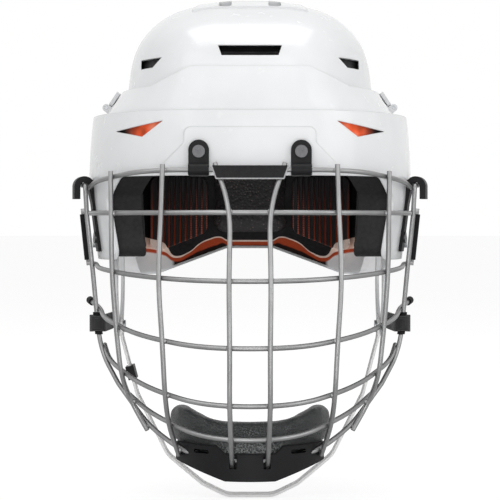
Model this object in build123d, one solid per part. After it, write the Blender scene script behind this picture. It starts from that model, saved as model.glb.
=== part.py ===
from build123d import *
import functools
import math
import os

os.makedirs("parts", exist_ok=True)

# Ice hockey helmet with a hinged wire cage, in millimetres.
# Origin: middle of the head space at the height of the brow edge. Front is -Y, up is +Z.

# Shell
HALF_WIDTH = 106.0
FRONT_REACH = 119.5
REAR_REACH = 147.0
CROWN_HEIGHT = 118.0
WALL = 3.0
SEAM_PLACE = 20.0
SEAM_OVERLAP = 26.0
SLIDE_GAP = 0.3
BELT_MARGIN = 4.0
SEAT_GAP = 0.15
FOAM_GAP = 0.3
OVERRUN = 8.0
BROW_EDGE = 1.0
TEMPLE_FRONT = 76.0
TEMPLE_DROP = 51.0
TEMPLE_SWEEP = 14.0
TEMPLE_LENGTH = 50.0
EAR_TOP = 23.0
EAR_FRONT = 16.0
EAR_REAR = 42.0
NAPE_DROP = 64.0
NAPE_ARCH_DROP = 46.0
NAPE_ARCH_HALF = 17.0
NAPE_ARCH_FOOT = 66.0
EDGE_ROUND = 7.0
PANEL_RISE = 1.2
PANEL_HALF = 40.0
PANEL_FOOT_HALF = 60.0
PANEL_TOP = 30.5
PANEL_SHOULDER = 21.0
PANEL_ROUND = 4.0
RIDGE_HALF = 37.0
RIDGE_REAR_HALF = 24.0
LEDGE_HEIGHT = 41.0
ROOF_HALF = 37.0
ROOF_FOOT_HALF = 62.0
ROOF_HEIGHT = 68.5
ROOF_FOOT_HEIGHT = 57.0

# Vents
SLOT_HALF = 19.7
SLOT_TAPER = 2.2
SLOT_LOW = 75.5
SLOT_HEIGHT = 6.5
UPPER_VENT_IN = 55.0
UPPER_VENT_OUT = 69.0
UPPER_VENT_LOW = 69.5
UPPER_VENT_HEIGHT = 6.0
BROW_VENT_IN = 53.0
BROW_VENT_OUT = 83.5
BROW_VENT_POINT = 66.0
BROW_VENT_TOP = 34.5
BROW_VENT_SILL = 29.0
BROW_VENT_LOW = 25.0
TOP_VENT_PLACE = 16.0
TOP_VENT_WIDTH = 8.0
TOP_VENT_LENGTH = 28.0
TOP_VENT_FRONT_PLACE = -34.0
TOP_VENT_REAR_PLACE = 62.0
NAPE_VENT_PLACE = 34.0
NAPE_VENT_LENGTH = 26.0
NAPE_VENT_WIDTH = 7.0
NAPE_VENT_HEIGHT = 22.0

# Head space and pads
HEAD_HALF_WIDTH = 77.0
HEAD_FRONT = 97.0
HEAD_REAR = 102.0
HEAD_TOP = 95.0
PAD = 7.0
PAD_ROUND = 6.0
CHANNEL = 3.0
CHANNEL_DEPTH = 2.0
LINER_INSET = 2.0
LINER_GAP = 1.5
FOREHEAD_PAD_HALF = 58.0
FOREHEAD_PAD_LOW = 4.0
FOREHEAD_PAD_HIGH = 32.0
CROWN_PAD_HALF = 26.0
FRONT_CROWN_PAD_FAR = 62.0
FRONT_CROWN_PAD_NEAR = 14.0
REAR_CROWN_PAD_NEAR = 6.0
REAR_CROWN_PAD_FAR = 58.0
TEMPLE_PAD_FRONT = 66.0
TEMPLE_PAD_REAR = 14.0
TEMPLE_PAD_HIGH = 2.0
TEMPLE_PAD_LOW = 46.0
REAR_PAD_HALF = 28.0
REAR_PAD_HIGH = 20.0
REAR_PAD_LOW = 36.0
OCCIPITAL_IN = 31.0
OCCIPITAL_OUT = 70.0
OCCIPITAL_HIGH = 6.0
OCCIPITAL_LOW = 50.0
OCCIPITAL_SHOULDER = 34.0
OCCIPITAL_FRONT = 30.0
RIB_PITCH = 3.8
RIB_GROOVE = 1.3
RIB_DEPTH = 1.4

# Fasteners
SCREW_RADIUS = 1.9
SCREW_CLEARANCE = 0.1
SCREW_HEAD_RADIUS = 3.8
SCREW_HEAD = 1.6
SOCKET_RADIUS = 1.3
SOCKET_DEPTH = 0.9
SCREW_LENGTH = 8.5
BARREL_RADIUS = 2.8
NUT_SINK = 0.6
NUT_FLANGE_RADIUS = 6.0
NUT_FLANGE = 1.5
NUT_POCKET = 7.0
NUT_POCKET_DEPTH = 5.0

# Forehead clips
CLIP_PLACE = 31.0
CLIP_WIDTH = 12.5
CLIP_SEAT = 123.6
CLIP_TOP = 22.5
CLIP_ROUND = 1.2
CLIP_SCREW_HEIGHT = 15.5
LOOP_WALL = 2.2
HINGE_CLEARANCE = 0.05

# Cage
WIRE_RADIUS = 1.5
WELD_SINK = 0.2
CAGE_FRONT = 163.0
CAGE_DROP = 174.0
CAGE_HALF_WIDTH = 105.0
HINGE_HEIGHT = 4.2
HINGE_STRAIGHT_HALF = 38.3
CORNER_DEPTH = 57.5
WIRE_TAIL = 3.0
INNER_BEND = 16.0
OUTER_BEND = 90.0
LONG_BEND = 600.0
LEG_BEND = 4.0
POST_DEPTH = 15.0
POST_HALF_WIDTH = 110.4
POST_FOOT_HALF_WIDTH = 106.8
SLEEVE_WALL = 0.9
SLEEVE_GAP = 0.05
SLEEVE_MARGIN = 2.2
CORNER_SLEEVE_LENGTH = 14.0
CAP_LENGTH = 6.0
CAP_WALL = 0.9
PLATE_TOP_HALF = 23.5
PLATE_FOOT_HALF = 20.5
PLATE_HEIGHT = 8.4
PLATE_THICKNESS = 1.4
PLATE_ROUND = 0.8
PLATE_LIFT = 2.6
PLATE_BACK = 3.2
PLATE_LEAN = 5.3
PLATE_CLIP_PLACE = 10.0
PLATE_CLIP_WIDTH = 6.0

# Corner hooks
HOOK_DEPTH = 50.0
HOOK_BORE = 2.7
HOOK_WALL = 3.9
HOOK_WIDTH = 10.0
HOOK_LEG = 8.0
HOOK_GAP = 0.3
LEG_OVERHANG = 1.5
ARM_DROP = 46.0
ARM_NECK_DROP = 15.5
ARM_NECK_LEAN = 2.3
ARM_LEAN = 6.2
HOOK_SCREW_DROP = 37.0
HOOK_SCREW_SEAT = 8.3
HOOK_YAW = 13.0

# Ear guards
GUARD_PLACE = 86.0
GUARD_THICKNESS = 2.0
GUARD_DEPTH = -4.0
GUARD_HEIGHT = -65.0
GUARD_HALF_LENGTH = 37.0
GUARD_HALF_HEIGHT = 38.0
GUARD_BAND = 10.0
GUARD_TAB_DEPTH = -33.0
GUARD_TAB_HEIGHT = -40.0
GUARD_TAB_RADIUS = 8.0
GUARD_BOSS_RADIUS = 5.5
GUARD_ROOM = 3.0
GUARD_SEAT = 100.6
GUARD_SCREW_LENGTH = 9.0

# Chin strap
STRAP_PIVOT_DEPTH = -12.0
STRAP_PIVOT_HEIGHT = -96.0
STRAP_WIDTH = 15.0
STRAP_THICKNESS = 1.6
STRAP_GAP = 0.3
STRAP_DROP = 112.0
STRAP_BEND = 18.0
RIVET_RADIUS = 2.2
RIVET_HEAD_RADIUS = 4.0
RIVET_HEAD = 1.3
KEEPER_MARGIN = 2.0
KEEPER_LENGTH = 9.0
KEEPER_PLACE_SHARE = 0.12

# Cage straps
CAGE_STRAP_WIDTH = 10.6
CAGE_STRAP_THICKNESS = 1.8
CAGE_STRAP_HEIGHT = -91.6
LOOP_BORE = 3.4
SNAP_DEPTH = -22.0
SNAP_RADIUS = 5.0
SNAP_RISE = 1.4
SNAP_STEM_RADIUS = 1.6
SNAP_POST_RADIUS = 3.0
SNAP_POST_LENGTH = 1.6

# Chin cup
CUP_HALF_WIDTH = 51.0
CUP_FRONT = 140.0
CUP_THICKNESS = 17.0
CUP_DEPTH_CENTRE = 84.0
CUP_WING_TOP = -138.0
CUP_DIP_TOP = -146.5
CUP_WING_PLACE = 42.0
CUP_LOW = -173.0
CUP_END_LOW = -160.0
CUP_ROUND = 4.5
CUP_EDGE = 3.0
HOLDER_HALF_WIDTH = 45.0
HOLDER_ELLIPSE_HALF = 53.0
HOLDER_FRONT = 148.5
HOLDER_THICKNESS = 26.0
HOLDER_TOP = -165.0
HOLDER_LOW = -181.0
HOLDER_END_LOW = -171.0
HOLDER_END_TOP = -160.5
HOLDER_FLAT_HALF = 15.0
HOLDER_ROUND = 1.0
HOLDER_SLOT_PLACE = 29.0
HOLDER_SLOT_WIDTH = 9.0
HOLDER_SLOT_LOW = -165.2
HOLDER_SLOT_HEIGHT = 2.4
NOTCH_HALF = 2.1
NOTCH_LOW = -173.6
NOTCH_DEPTH = 143.4
CHANNEL_GAP = 0.15

# Size latches
LATCH_PLACE = 95.4
LATCH_DEPTH = 2.0
LATCH_HEIGHT = 48.8
LATCH_TILT = 34.0
LATCH_LENGTH = 24.0
LATCH_REACH = 13.0
LATCH_THICKNESS = 2.4
LATCH_BASE = 1.6
LATCH_BASE_REACH = 4.0
LATCH_LUG = 4.0
LATCH_GAP = 0.35
LATCH_PIN_RADIUS = 1.2
LATCH_EYE_WALL = 1.3
LATCH_TOOTH = 7.1
LATCH_TOOTH_LOW = 7.0
LATCH_TOOTH_HEIGHT = 2.0
LATCH_SWING = 2.6

# Each level of a tier: height, half width, front reach and rear reach, as shares of the shell's own sizes.
FLAT_SHARE = 0.33
CROWN_SHARES = (
    (0.424, 0.769, 0.904, 0.932),
    (0.559, 0.750, 0.874, 0.905),
    (0.678, 0.726, 0.816, 0.857),
    (0.780, 0.675, 0.711, 0.782),
    (0.864, 0.594, 0.569, 0.680),
    (0.924, 0.500, 0.435, 0.571),
    (0.966, 0.368, 0.301, 0.435),
    (0.991, 0.208, 0.180, 0.293),
    (1.000, 0.076, 0.109, 0.218),
)
MIDDLE_SHARES = (
    (0.288, 0.925, 0.958, 0.972),
    (0.356, 0.897, 0.952, 0.966),
    (0.419, 0.847, 0.942, 0.957),
    (0.483, 0.802, 0.927, 0.944),
    (0.542, 0.774, 0.909, 0.929),
    (0.602, 0.757, 0.889, 0.912),
)
BROW_SHARES = (
    (-0.610, 0.910, 0.930, 0.750),
    (-0.381, 0.953, 0.962, 0.871),
    (-0.170, 0.986, 0.987, 0.946),
    (0.017, 1.000, 1.000, 0.986),
    (0.203, 0.990, 0.997, 1.000),
    (0.322, 0.978, 0.988, 0.993),
    (0.441, 0.950, 0.972, 0.973),
)
HEAD_SHARES = (
    (-0.737, 0.935, 0.866, 0.843),
    (-0.474, 0.974, 0.938, 0.931),
    (-0.211, 1.000, 0.990, 0.980),
    (0.053, 1.000, 1.000, 1.000),
    (0.316, 0.974, 0.969, 0.971),
    (0.547, 0.896, 0.876, 0.882),
    (0.737, 0.766, 0.722, 0.745),
    (0.884, 0.571, 0.515, 0.569),
    (0.968, 0.338, 0.309, 0.373),
    (1.000, 0.130, 0.144, 0.275),
)

# Each cross wire as shares of the cage's own sizes: front reach, centre drop, corner drop, half width at the
# corner, straight front half and depth of its ellipse centre, then its end's half width, depth and drop.
ROW_SHARES = (
    (0.779, 0.000, 0.051, 0.974, 0.367, 0.123, 0.976, 0.343, 0.053),
    (0.877, 0.148, 0.148, 0.970, 0.000, 0.307, 1.050, 0.101, 0.137),
    (0.963, 0.381, 0.334, 0.934, 0.000, 0.245, 1.015, 0.101, 0.335),
    (1.000, 0.606, 0.497, 0.909, 0.000, 0.184, 0.990, 0.215, 0.472),
    (0.994, 0.801, 0.636, 0.882, 0.000, 0.123, 0.884, 0.353, 0.630),
    (0.951, 0.919, 0.733, 0.775, 0.000, 0.092, 0.722, 0.543, 0.793),
)
# Where each upright crosses the six cross wires and the rim, as shares of the cage's half width.
UPRIGHT_SHARES = (
    (0.193, 0.119, 0.114, 0.110, 0.109, 0.102, 0.096),
    (0.494, 0.495, 0.501, 0.479, 0.461, 0.439, 0.398),
    (0.794, 0.790, 0.781, 0.757, 0.723, 0.669, 0.593),
)
# Corners of the rim wire from its straight bottom to its top end: half width, front reach and drop.
RIM_SHARES = (
    (0.160, 0.880, 0.998),
    (0.390, 0.770, 0.975),
    (0.595, 0.625, 0.900),
    (0.786, 0.488, 0.763),
    (0.910, 0.368, 0.647),
    (0.960, 0.353, 0.340),
    (0.993, 0.353, 0.150),
    (1.002, 0.353, 0.044),
)
# The chin strap's outline from one pivot to the bottom, as shares of its place and drop.
CHIN_STRAP_SHARES = (
    (1.000, 0.060),
    (0.880, 0.400),
    (0.640, 0.760),
    (0.370, 0.930),
    (0.180, 1.000),
)

# How near a wire's bends come to each other, how round the ends of the straps and the keeper's edges are, and
# how often a path is halved or corrected to find a point on it.
BEND_SHARE = 0.98
END_ROUND_SHARE = 0.49
EDGE_SHARE = 0.8
HALVINGS = 24
ROUNDS = 6
LOW_CORNER = 4

BELT_FRONT = SEAM_PLACE - SEAM_OVERLAP - BELT_MARGIN
BELT_REAR = SEAM_PLACE + BELT_MARGIN
REAR_SHELL_DEPTH = WALL + SLIDE_GAP
HINGE_FRONT = CAGE_FRONT * ROW_SHARES[0][0]
SLEEVE_BORE = WIRE_RADIUS + SLEEVE_GAP
LEG_PLACE = CAGE_HALF_WIDTH * RIM_SHARES[-1][0]
LEG_HEIGHT = HINGE_HEIGHT - CAGE_DROP * RIM_SHARES[-1][2]
HOOK_PLACE = LEG_PLACE + (CORNER_DEPTH - HOOK_DEPTH) * math.tan(math.radians(HOOK_YAW))
HOOK_HEIGHT = LEG_HEIGHT - (HOOK_BORE - WIRE_RADIUS - HOOK_GAP)
LEG_RUN = HOOK_WIDTH / 2 + LEG_OVERHANG
LEG_RUN_SIDE = LEG_RUN * math.sin(math.radians(HOOK_YAW))
LEG_RUN_BACK = LEG_RUN * math.cos(math.radians(HOOK_YAW))
SIDES = (1, -1)


# Shared shapes


def level_face(height, half_width, front, rear):
    """One level outline: straight front, belt and rear joined by quarter ellipses."""
    flat = half_width * FLAT_SHARE
    corner = half_width - flat
    nose = front + BELT_FRONT
    tail = rear - BELT_REAR
    edges = [
        Line((-flat, -front), (flat, -front)),
        EllipticalCenterArc((flat, BELT_FRONT), corner, nose, start_angle=270),
        Line((half_width, BELT_FRONT), (half_width, BELT_REAR)),
        EllipticalCenterArc((flat, BELT_REAR), corner, tail, start_angle=0),
        Line((flat, rear), (-flat, rear)),
        EllipticalCenterArc((-flat, BELT_REAR), corner, tail, start_angle=90),
        Line((-half_width, BELT_REAR), (-half_width, BELT_FRONT)),
        EllipticalCenterArc((-flat, BELT_FRONT), corner, nose, start_angle=180),
    ]
    return Pos(0, 0, height) * make_face(edges)


def levels_of(shares, height, half_width, front, rear):
    """A tier's table of shares as real sizes."""
    return [(z * height, w * half_width, f * front, r * rear) for z, w, f, r in shares]


def inset(levels, depth, capped):
    """The same levels moved in square to their own slope; a capped stack ends in a flat top."""
    moved = []
    last = len(levels) - 1
    for i, level in enumerate(levels):
        low = levels[max(i - 1, 0)]
        high = levels[min(i + 1, last)]
        rise = high[0] - low[0]
        slopes = []
        for side in (1, 2, 3):
            run = low[side] - high[side]
            length = math.hypot(rise, run)
            slopes.append((rise / length, run / length))
        share = 1.0 if capped and i == last else max(0.0, min(up for out, up in slopes))
        reach = [
            size - depth * (1 - up * share) / out
            for size, (out, up) in zip(level[1:], slopes)
        ]
        moved.append((level[0] - depth * share, *reach))
    return moved


def stack(levels):
    """Loft through level outlines."""
    return loft([level_face(*level) for level in levels])


def prism_front(points, near, far, rounding=0):
    """Prism of an outline in X and Z that runs along Y from near to far."""
    return outline_prism(Plane.XZ, points, -far, -near, rounding)


def prism_side(points, near, far, rounding=0):
    """Prism of an outline in Y and Z that runs along X from near to far."""
    return outline_prism(Plane.YZ, points, near, far, rounding)


def prism_top(points, near, far, rounding=0):
    """Prism of an outline in X and Y that runs along Z from near to far."""
    return outline_prism(Plane.XY, points, near, far, rounding)


def outline_prism(plane, points, near, far, rounding):
    """Prism of a closed outline, with its corners rounded where a radius is given."""
    if rounding:
        outline = FilletPolyline(*points, radius=rounding, close=True)
    else:
        outline = Polyline(*points, close=True)
    return extrude(plane.offset(near) * make_face(outline), far - near)


def rectangle(low_a, low_b, high_a, high_b):
    """Corner points of a rectangle."""
    return [(low_a, low_b), (high_a, low_b), (high_a, high_b), (low_a, high_b)]


def rod_x(radius, start, end, depth, height):
    """Cylinder along X."""
    return Pos((start + end) / 2, depth, height) * Rot(0, 90, 0) * Cylinder(radius, abs(end - start))


def rod_y(radius, start, end, across, height):
    """Cylinder along Y."""
    return Pos(across, (start + end) / 2, height) * Rot(90, 0, 0) * Cylinder(radius, abs(end - start))


def mirrored(shape):
    """The same shape on the other side of the helmet."""
    return mirror(shape, about=Plane.YZ)


def pair(shape):
    """A shape and its mirror image as two solids."""
    return Compound(children=[*shape.solids(), *mirrored(shape).solids()])


def group(shapes):
    """Separate solids that share one node."""
    return Compound(children=[solid for shape in shapes for solid in shape.solids()])


# Shells


@functools.lru_cache(maxsize=None)
def shell_form(depth):
    """Closed form of the three tiers, moved in by depth."""
    sizes = (CROWN_HEIGHT, HALF_WIDTH, FRONT_REACH, REAR_REACH)
    crown = stack(inset(levels_of(CROWN_SHARES, *sizes), depth, True))
    middle = stack(inset(levels_of(MIDDLE_SHARES, *sizes), depth, False))
    brow = stack(inset(levels_of(BROW_SHARES, *sizes), depth, False))
    base = -NAPE_DROP - OVERRUN
    ledge = rectangle(-HALF_WIDTH - OVERRUN, base, HALF_WIDTH + OVERRUN, LEDGE_HEIGHT - depth)
    roof = [
        (-HALF_WIDTH, 0),
        (HALF_WIDTH, 0),
        (HALF_WIDTH, ROOF_FOOT_HEIGHT - depth),
        (ROOF_FOOT_HALF, ROOF_FOOT_HEIGHT - depth),
        (ROOF_HALF, ROOF_HEIGHT - depth),
        (-ROOF_HALF, ROOF_HEIGHT - depth),
        (-ROOF_FOOT_HALF, ROOF_FOOT_HEIGHT - depth),
        (-HALF_WIDTH, ROOF_FOOT_HEIGHT - depth),
    ]
    middle = middle & prism_front(roof, -FRONT_REACH - OVERRUN, REAR_REACH + OVERRUN)
    brow = brow & prism_front(ledge, -FRONT_REACH - OVERRUN, REAR_REACH + OVERRUN)
    return crown + middle + brow


@functools.lru_cache(maxsize=None)
def head_form(depth):
    """Closed form of the head space, moved in by depth."""
    return stack(inset(levels_of(HEAD_SHARES, HEAD_TOP, HEAD_HALF_WIDTH, HEAD_FRONT, HEAD_REAR), depth, True))


def front_region(back, lift):
    """Space of the front half: above the brow, temple and ear edges, ahead of the seam."""
    top = CROWN_HEIGHT + OVERRUN
    outline = [
        (-FRONT_REACH - OVERRUN, BROW_EDGE + lift),
        (-TEMPLE_FRONT - TEMPLE_SWEEP + lift, BROW_EDGE + lift),
        (-TEMPLE_FRONT + lift, BROW_EDGE - TEMPLE_SWEEP + lift),
        (-TEMPLE_FRONT + lift, -TEMPLE_DROP + lift),
        (-TEMPLE_FRONT + TEMPLE_LENGTH - lift, -TEMPLE_DROP + lift),
        (-EAR_FRONT - lift, -EAR_TOP + lift),
        (back, -EAR_TOP + lift),
        (back, top),
        (-FRONT_REACH - OVERRUN, top),
    ]
    radii = [EDGE_ROUND, EDGE_ROUND, EDGE_ROUND, EDGE_ROUND, EDGE_ROUND]
    curve = FilletPolyline(*outline[0:7], radius=radii)
    rest = Polyline(outline[6], outline[7], outline[8], outline[0])
    face = Plane.YZ.offset(-HALF_WIDTH - OVERRUN) * make_face([*curve.edges(), *rest.edges()])
    return extrude(face, (HALF_WIDTH + OVERRUN) + (HALF_WIDTH + OVERRUN))


def rear_region(front, lift):
    """Space of the rear half: above the ear and nape edges, behind a given depth."""
    top = CROWN_HEIGHT + OVERRUN
    outline = [
        (front, -EAR_TOP + lift),
        (EAR_REAR - EDGE_ROUND + lift, -EAR_TOP + lift),
        (EAR_REAR + lift, -NAPE_DROP + lift),
        (REAR_REACH + OVERRUN, -NAPE_DROP + lift),
        (REAR_REACH + OVERRUN, top),
        (front, top),
    ]
    curve = FilletPolyline(*outline[0:4], radius=[EDGE_ROUND, EDGE_ROUND])
    rest = Polyline(outline[3], outline[4], outline[5], outline[0])
    face = Plane.YZ.offset(-HALF_WIDTH - OVERRUN) * make_face([*curve.edges(), *rest.edges()])
    region = extrude(face, (HALF_WIDTH + OVERRUN) + (HALF_WIDTH + OVERRUN))
    low = -NAPE_DROP - OVERRUN
    arch = [
        (-NAPE_ARCH_HALF, -NAPE_ARCH_DROP + lift),
        (NAPE_ARCH_HALF, -NAPE_ARCH_DROP + lift),
        (NAPE_ARCH_FOOT, -NAPE_DROP + lift),
        (NAPE_ARCH_FOOT, low),
        (-NAPE_ARCH_FOOT, low),
        (-NAPE_ARCH_FOOT, -NAPE_DROP + lift),
    ]
    return region - prism_front(arch, EAR_REAR, REAR_REACH + OVERRUN)


def slot_prism(grow):
    """The long centre slot, grown by a margin for the liner's channel."""
    half = SLOT_HALF + grow
    foot = SLOT_HALF - SLOT_TAPER + grow
    low = SLOT_LOW - grow
    high = SLOT_LOW + SLOT_HEIGHT + grow
    return prism_front([(-foot, low), (foot, low), (half, high), (-half, high)], -FRONT_REACH, BELT_FRONT)


def front_vents():
    """Cutters for the upper side vents, the brow side vents and the front pair on top."""
    upper = [
        (UPPER_VENT_IN, UPPER_VENT_LOW + UPPER_VENT_HEIGHT),
        (UPPER_VENT_OUT, UPPER_VENT_LOW + UPPER_VENT_HEIGHT),
        (UPPER_VENT_OUT, UPPER_VENT_LOW),
        (UPPER_VENT_IN + UPPER_VENT_HEIGHT, UPPER_VENT_LOW),
    ]
    brow = [
        (BROW_VENT_IN, BROW_VENT_TOP),
        (BROW_VENT_OUT, BROW_VENT_SILL),
        (BROW_VENT_POINT, BROW_VENT_LOW),
    ]
    cutters = []
    for outline in (upper, brow):
        cutter = prism_front(outline, -FRONT_REACH - OVERRUN, BELT_FRONT)
        cutters += [cutter, mirrored(cutter)]
    top = top_vent(TOP_VENT_FRONT_PLACE)
    return cutters + [top, mirrored(top)]


def top_vent(place):
    """Cutter for one long vent on top of the crown."""
    outline = rectangle(
        TOP_VENT_PLACE - TOP_VENT_WIDTH / 2,
        place - TOP_VENT_LENGTH / 2,
        TOP_VENT_PLACE + TOP_VENT_WIDTH / 2,
        place + TOP_VENT_LENGTH / 2,
    )
    return prism_top(outline, HEAD_TOP - OVERRUN, CROWN_HEIGHT + OVERRUN, TOP_VENT_WIDTH / 3)


def nape_vent():
    """Cutter for one long vent in the back of the rear shell."""
    outline = rectangle(
        NAPE_VENT_PLACE - NAPE_VENT_LENGTH / 2,
        NAPE_VENT_HEIGHT - NAPE_VENT_WIDTH / 2,
        NAPE_VENT_PLACE + NAPE_VENT_LENGTH / 2,
        NAPE_VENT_HEIGHT + NAPE_VENT_WIDTH / 2,
    )
    return prism_front(outline, EAR_REAR, REAR_REACH + OVERRUN, NAPE_VENT_WIDTH / 3)


def ridge_region(front, back):
    """Plan of the raised band that runs over the crown."""
    plan = [(-RIDGE_HALF, front), (RIDGE_HALF, front), (RIDGE_REAR_HALF, back), (-RIDGE_REAR_HALF, back)]
    return prism_top(plan, HEAD_TOP - OVERRUN, CROWN_HEIGHT + OVERRUN)


def front_shell():
    """Front half of the shell, with its brow panel, crown band, vents and screw holes."""
    panel_plan = [
        (-PANEL_HALF, PANEL_TOP),
        (PANEL_HALF, PANEL_TOP),
        (PANEL_HALF, PANEL_SHOULDER),
        (PANEL_FOOT_HALF, BROW_EDGE),
        (PANEL_FOOT_HALF, BROW_EDGE - OVERRUN),
        (-PANEL_FOOT_HALF, BROW_EDGE - OVERRUN),
        (-PANEL_FOOT_HALF, BROW_EDGE),
        (-PANEL_HALF, PANEL_SHOULDER),
    ]
    panel = shell_form(-PANEL_RISE) & prism_front(panel_plan, -FRONT_REACH - OVERRUN, BELT_FRONT, PANEL_ROUND)
    ridge = shell_form(-PANEL_RISE) & ridge_region(-HEAD_FRONT / 2, SEAM_PLACE)
    solid = (shell_form(0) + panel + ridge - shell_form(WALL)) & front_region(SEAM_PLACE, 0)
    solid = solid - slot_prism(0)
    for cutter in front_vents():
        solid = solid - cutter
    deep = HALF_WIDTH - HEAD_HALF_WIDTH
    holes = [
        clip_rod(BARREL_RADIUS + SCREW_CLEARANCE, HEAD_FRONT, FRONT_REACH + OVERRUN),
        hook_place(hook_rod(BARREL_RADIUS + SCREW_CLEARANCE, -deep, 0)),
        guard_rod(SCREW_RADIUS + SCREW_CLEARANCE, HEAD_HALF_WIDTH, HALF_WIDTH),
        guard_rod(SCREW_HEAD_RADIUS + SEAT_GAP + SEAT_GAP, GUARD_SEAT, HALF_WIDTH),
        latch_window(),
    ]
    for hole in holes:
        solid = solid - hole - mirrored(hole)
    return solid


def rear_shell():
    """Rear half of the shell, which slides inside the front half along Y."""
    ridge = shell_form(REAR_SHELL_DEPTH - PANEL_RISE) & ridge_region(BELT_REAR, REAR_REACH - OVERRUN - OVERRUN)
    ridge = ridge & prism_side(
        rectangle(SEAM_PLACE + SLIDE_GAP, HEAD_TOP, REAR_REACH, CROWN_HEIGHT), -HALF_WIDTH, HALF_WIDTH
    )
    body = shell_form(REAR_SHELL_DEPTH) + ridge - shell_form(REAR_SHELL_DEPTH + WALL)
    body = body & rear_region(SEAM_PLACE - SEAM_OVERLAP, 0)
    top = top_vent(TOP_VENT_REAR_PLACE)
    nape = nape_vent()
    for cutter in (top, mirrored(top), nape, mirrored(nape)):
        body = body - cutter
    return body


# Liners and pads


def nut_pockets():
    """Room in the front liner behind each tee nut."""
    rods = clip_rod(NUT_POCKET, HEAD_FRONT, FRONT_REACH)
    hook = hook_place(rod_x(NUT_POCKET, -HALF_WIDTH + HEAD_HALF_WIDTH, 0, 0, -HOOK_SCREW_DROP))
    rods = rods + mirrored(rods) + hook + mirrored(hook)
    return rods - shell_form(WALL + NUT_POCKET_DEPTH)


def front_liner():
    """Foam block inside the front shell."""
    body = shell_form(WALL + FOAM_GAP) - head_form(-PAD)
    body = body & front_region(SEAM_PLACE - SEAM_OVERLAP - LINER_GAP, LINER_INSET)
    guard_room = prism_side(
        rectangle(
            GUARD_TAB_DEPTH - GUARD_TAB_RADIUS - GUARD_ROOM,
            -TEMPLE_DROP - OVERRUN,
            BELT_FRONT + OVERRUN,
            GUARD_TAB_HEIGHT + GUARD_TAB_RADIUS + GUARD_ROOM,
        ),
        HEAD_HALF_WIDTH - OVERRUN,
        HALF_WIDTH,
        GUARD_ROOM,
    )
    for cutter in (slot_prism(CHANNEL), nut_pockets(), guard_room, mirrored(guard_room)):
        body = body - cutter
    return body


def rear_liner():
    """Foam block inside the rear shell."""
    body = shell_form(REAR_SHELL_DEPTH + WALL + FOAM_GAP) - head_form(-PAD)
    body = body & rear_region(SEAM_PLACE - SEAM_OVERLAP + LINER_INSET, LINER_INSET)
    channel = prism_front(
        rectangle(-CHANNEL, REAR_PAD_HIGH, CHANNEL, HEAD_TOP),
        HEAD_REAR / 2,
        REAR_REACH,
    )
    return body - (channel & head_form(-PAD - CHANNEL_DEPTH))


def pad_from(prism):
    """Comfort pad: the part of the padding layer inside a prism."""
    return (head_form(FOAM_GAP - PAD) & prism) - head_form(0)


def cross_groove(prism):
    """A shallow channel in a pad's inner face."""
    return prism & head_form(-CHANNEL_DEPTH)


def forehead_pad():
    """Pad behind the brow, with two channels."""
    outline = rectangle(-FOREHEAD_PAD_HALF, FOREHEAD_PAD_LOW, FOREHEAD_PAD_HALF, FOREHEAD_PAD_HIGH)
    pad = pad_from(prism_front(outline, -FRONT_REACH, BELT_FRONT, PAD_ROUND))
    place = FOREHEAD_PAD_HALF / 3
    for side in SIDES:
        groove = rectangle(side * place - CHANNEL / 2, 0, side * place + CHANNEL / 2, HEAD_TOP / 2)
        pad = pad - cross_groove(prism_front(groove, -FRONT_REACH, BELT_FRONT))
    return pad


def crown_pad(near, far):
    """Pad under the crown, with one lengthwise channel."""
    outline = rectangle(-CROWN_PAD_HALF, near, CROWN_PAD_HALF, far)
    pad = pad_from(prism_top(outline, HEAD_TOP / 2, CROWN_HEIGHT, PAD_ROUND))
    groove = rectangle(-CHANNEL / 2, near - OVERRUN, CHANNEL / 2, far + OVERRUN)
    return pad - cross_groove(prism_top(groove, HEAD_TOP / 2, CROWN_HEIGHT))


def temple_pad():
    """Pad ahead of the right ear, with one upright channel."""
    outline = rectangle(-TEMPLE_PAD_FRONT, -TEMPLE_PAD_LOW, -TEMPLE_PAD_REAR, TEMPLE_PAD_HIGH)
    pad = pad_from(prism_side(outline, FOREHEAD_PAD_HALF, HALF_WIDTH, PAD_ROUND))
    middle = (TEMPLE_PAD_FRONT + TEMPLE_PAD_REAR) / 2
    groove = rectangle(-middle - CHANNEL / 2, -TEMPLE_DROP, -middle + CHANNEL / 2, TEMPLE_PAD_HIGH + OVERRUN)
    return pad - cross_groove(prism_side(groove, FOREHEAD_PAD_HALF, HALF_WIDTH))


def rear_centre_pad():
    """Pad behind the head, between the occipital pads."""
    outline = rectangle(-REAR_PAD_HALF, -REAR_PAD_LOW, REAR_PAD_HALF, REAR_PAD_HIGH)
    return pad_from(prism_front(outline, EAR_REAR, REAR_REACH, PAD_ROUND))


def occipital_pad():
    """Pad behind the right ear, with upright ribs."""
    outline = [
        (OCCIPITAL_IN, -OCCIPITAL_SHOULDER),
        (OCCIPITAL_OUT, -OCCIPITAL_LOW),
        (OCCIPITAL_OUT, OCCIPITAL_HIGH),
        (OCCIPITAL_IN, OCCIPITAL_HIGH),
    ]
    pad = pad_from(prism_front(outline, OCCIPITAL_FRONT, REAR_REACH, PAD_ROUND))
    count = int((OCCIPITAL_OUT - OCCIPITAL_IN) / RIB_PITCH)
    for i in range(1, count):
        place = OCCIPITAL_IN + i * RIB_PITCH
        groove = rectangle(place - RIB_GROOVE / 2, -NAPE_DROP, place + RIB_GROOVE / 2, PAD_ROUND + PAD_ROUND)
        cutter = prism_front(groove, OCCIPITAL_FRONT, REAR_REACH)
        pad = pad - (cutter & head_form(-RIB_DEPTH))
    return pad


# Fasteners


def clip_rod(radius, near, far):
    """Cylinder through the right forehead clip's screw place, from one front reach to another."""
    return rod_y(radius, -near, -far, CLIP_PLACE, CLIP_SCREW_HEIGHT)


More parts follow.
